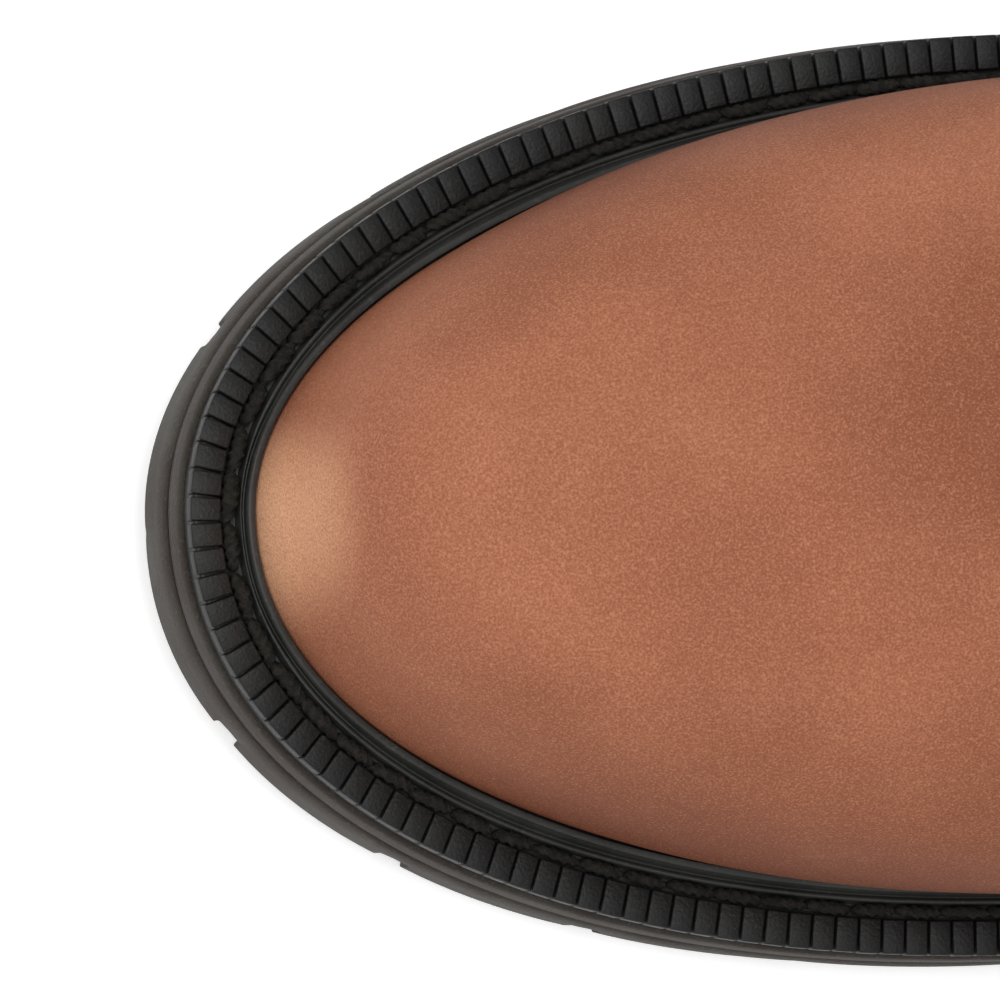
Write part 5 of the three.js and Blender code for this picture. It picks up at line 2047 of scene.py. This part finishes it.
@dataclass
class Inside:
    """What lies inside: the footbed, and the carried-over solids that get their own finishes."""

    last: Last
    footbed_low: float = 15.2
    footbed_high: float = 20.2
    lining_in: float = -6.1
    ease: float = 2.8

    def footbed(self) -> bpy.types.Object:
        """The removable footbed, dished under the heel and cupped at its edge."""
        t = turns(420)
        inset = self.last.flange(t) - self.lining_in + self.ease
        low, high = self.footbed_low, self.footbed_high
        levels = (
            (6, low), (0.4, low), (0, low + 1.5), (0, high - 0.8), (1.2, high), (4, high - 0.5),
            (9, high - 1.2),
        )
        rails = [self.last.sole_line(t, inset + more, height) for more, height in levels]
        shape = Shape()
        plate(shape, rounded(rails, (0, 0.4, 0.5, 0.6, 0.9, 1.5, 0), 3, closed=False), 8)
        return shape.make("footbed_pad", 60)

    def build(self, frame: dict, finishes: Finishes) -> None:
        """Builds the footbed and dresses the hidden solids.

        Args:
            finishes: The boot's materials.
        """
        settle(self.footbed(), Slot.FOAM, finishes.footbed, "footbed")
        plain = {
            "insole_rib": finishes.board,
            "insole_board": finishes.board,
            "heel_stiffener": finishes.board,
            "cork_filler": finishes.cork,
            "steel_shank": finishes.steel,
            "steel_toe_cap": finishes.steel,
            "toe_cap_edge_strip": finishes.foam,
        }
        plain |= {name: finishes.steel for name in frame["nodes"] if name.startswith("heel_nail_")}
        for name, finish in plain.items():
            node = frame["nodes"][name]
            if not node.data.materials:
                node.data.materials.append(finish)
            for k in range(len(node.data.materials)):
                node.data.materials[k] = finish
            LOG.info("%s: dressed as %s", name, finish.name)


# ------------------------------------------------------------------------------ camera and studio
@dataclass(frozen=True)
class Lamp:
    """A soft square light: where it hangs and how wide it is, in metres, and its watts."""

    name: str
    at: tuple[float, float, float]
    power: float
    size: float


@dataclass
class Studio:
    """Camera, lights, floor and the colours' view."""

    aim: tuple[float, float, float] = (-115.41, 0.53, 30.0)
    pitch: float = 19.76
    roll: float = 3.46
    turn: float = -1.99
    distance: float = 1100.0
    frame_width: float = 119.66
    sensor: float = 36.0
    lit_at: tuple[float, float, float] = (0.0, 0.0, 0.08)
    floor_half: float = 3.0
    floor_tone: float = 0.9
    floor_glow: float = 0.4
    sky: float = 0.3
    lamps: tuple[Lamp, ...] = (
        Lamp("key", (-0.85, 0.2, 1.5), power=20.0, size=1.5),
        Lamp("fill", (0.2, -1.3, 1.3), power=6.5, size=1.4),
        Lamp("top", (0.1, 0.25, 1.9), power=11.0, size=1.6),
    )

    def camera(self) -> None:
        """Looks down on the toe from a little in front and a little to the inner side."""
        a, b, c = (math.radians(v) for v in (self.pitch, self.roll, self.turn))
        back = Vector((-math.sin(a) * math.cos(b), -math.sin(b), math.cos(a) * math.cos(b)))
        right = (Vector((1, 0, 0)) - back * back.x).normalized()
        up = back.cross(right)
        across = math.cos(c) * right + math.sin(c) * up
        above = -math.sin(c) * right + math.cos(c) * up
        lens = bpy.data.cameras.new("camera")
        lens.sensor_width = self.sensor
        lens.lens = lens.sensor_width * self.distance / self.frame_width
        lens.clip_start, lens.clip_end = 0.05, 20.0
        camera = bpy.data.objects.new("camera", lens)
        place = Matrix((across, above, back)).transposed().to_4x4()
        place.translation = (Vector(self.aim) + back * self.distance) * MM
        camera.matrix_world = place
        bpy.context.scene.collection.objects.link(camera)
        bpy.context.scene.camera = camera

    def hang(self, lamp: Lamp) -> None:
        """Adds one light, aimed at the boot."""
        data = bpy.data.lights.new(lamp.name, "AREA")
        data.energy, data.size = lamp.power, lamp.size
        made = bpy.data.objects.new(lamp.name, data)
        towards = (Vector(self.lit_at) - Vector(lamp.at)).to_track_quat("-Z", "Y")
        made.matrix_world = Matrix.Translation(lamp.at) @ towards.to_matrix().to_4x4()
        bpy.context.scene.collection.objects.link(made)

    def floor(self) -> None:
        """A plain pale floor, which glows a little so that it stays white round the boot."""
        mesh = bpy.data.meshes.new("floor")
        half, tone = self.floor_half, self.floor_tone
        corners = [(-half, -half, 0), (half, -half, 0), (half, half, 0), (-half, half, 0)]
        mesh.from_pydata(corners, [], [(0, 1, 2, 3)])
        floor = bpy.data.objects.new("floor", mesh)
        bpy.context.scene.collection.objects.link(floor)
        paint = Surface("floor_paint").finish(
            (tone, tone, tone, 1.0), 0.9, Emission_Color=(1.0, 1.0, 1.0, 1.0),
            Emission_Strength=self.floor_glow,
        )
        mesh.materials.append(paint)

    def build(self) -> None:
        """Sets up the studio."""
        self.camera()
        self.floor()
        for lamp in self.lamps:
            self.hang(lamp)
        world = bpy.data.worlds.new("studio")
        world.use_nodes = True
        sky = world.node_tree.nodes["Background"]
        sky.inputs["Color"].default_value = (1.0, 1.0, 1.0, 1.0)
        sky.inputs["Strength"].default_value = self.sky
        bpy.context.scene.world = world
        bpy.context.scene.view_settings.view_transform = "Standard"


# ------------------------------------------------------------------------------ the whole boot
def measured_last() -> Last:
    """The last, with its overall sizes taken from the frame."""
    sole, lift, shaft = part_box("outsole"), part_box("heel_top_lift"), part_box("shaft_front")
    return Last(
        length=(sole[1].x - sole[0].x) / MM,
        ball_width=(sole[1].y - sole[0].y) / MM,
        heel_width=(lift[1].y - lift[0].y) / MM + 2 * LIFT_INSET,
        collar_height=shaft[1].z / MM,
        heel_length=(sole[1].x - lift[0].x) / MM,
        hoops=BOOT_HOOPS,
    )


def main() -> None:
    """Builds the boot round its frame, camera first."""
    logging.basicConfig(level=logging.INFO, format="%(name)s %(message)s")
    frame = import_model()
    Studio().build()
    last = measured_last()
    finishes = Finishes()
    SoleUnit(last).build(finishes)
    StormWelt(last).build(finishes)
    upper = Upper(last)
    upper.build(finishes)
    PullLoops(last, upper).build(finishes)
    Inside(last).build(frame, finishes)
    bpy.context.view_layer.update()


if __name__ == "__main__":
    main()
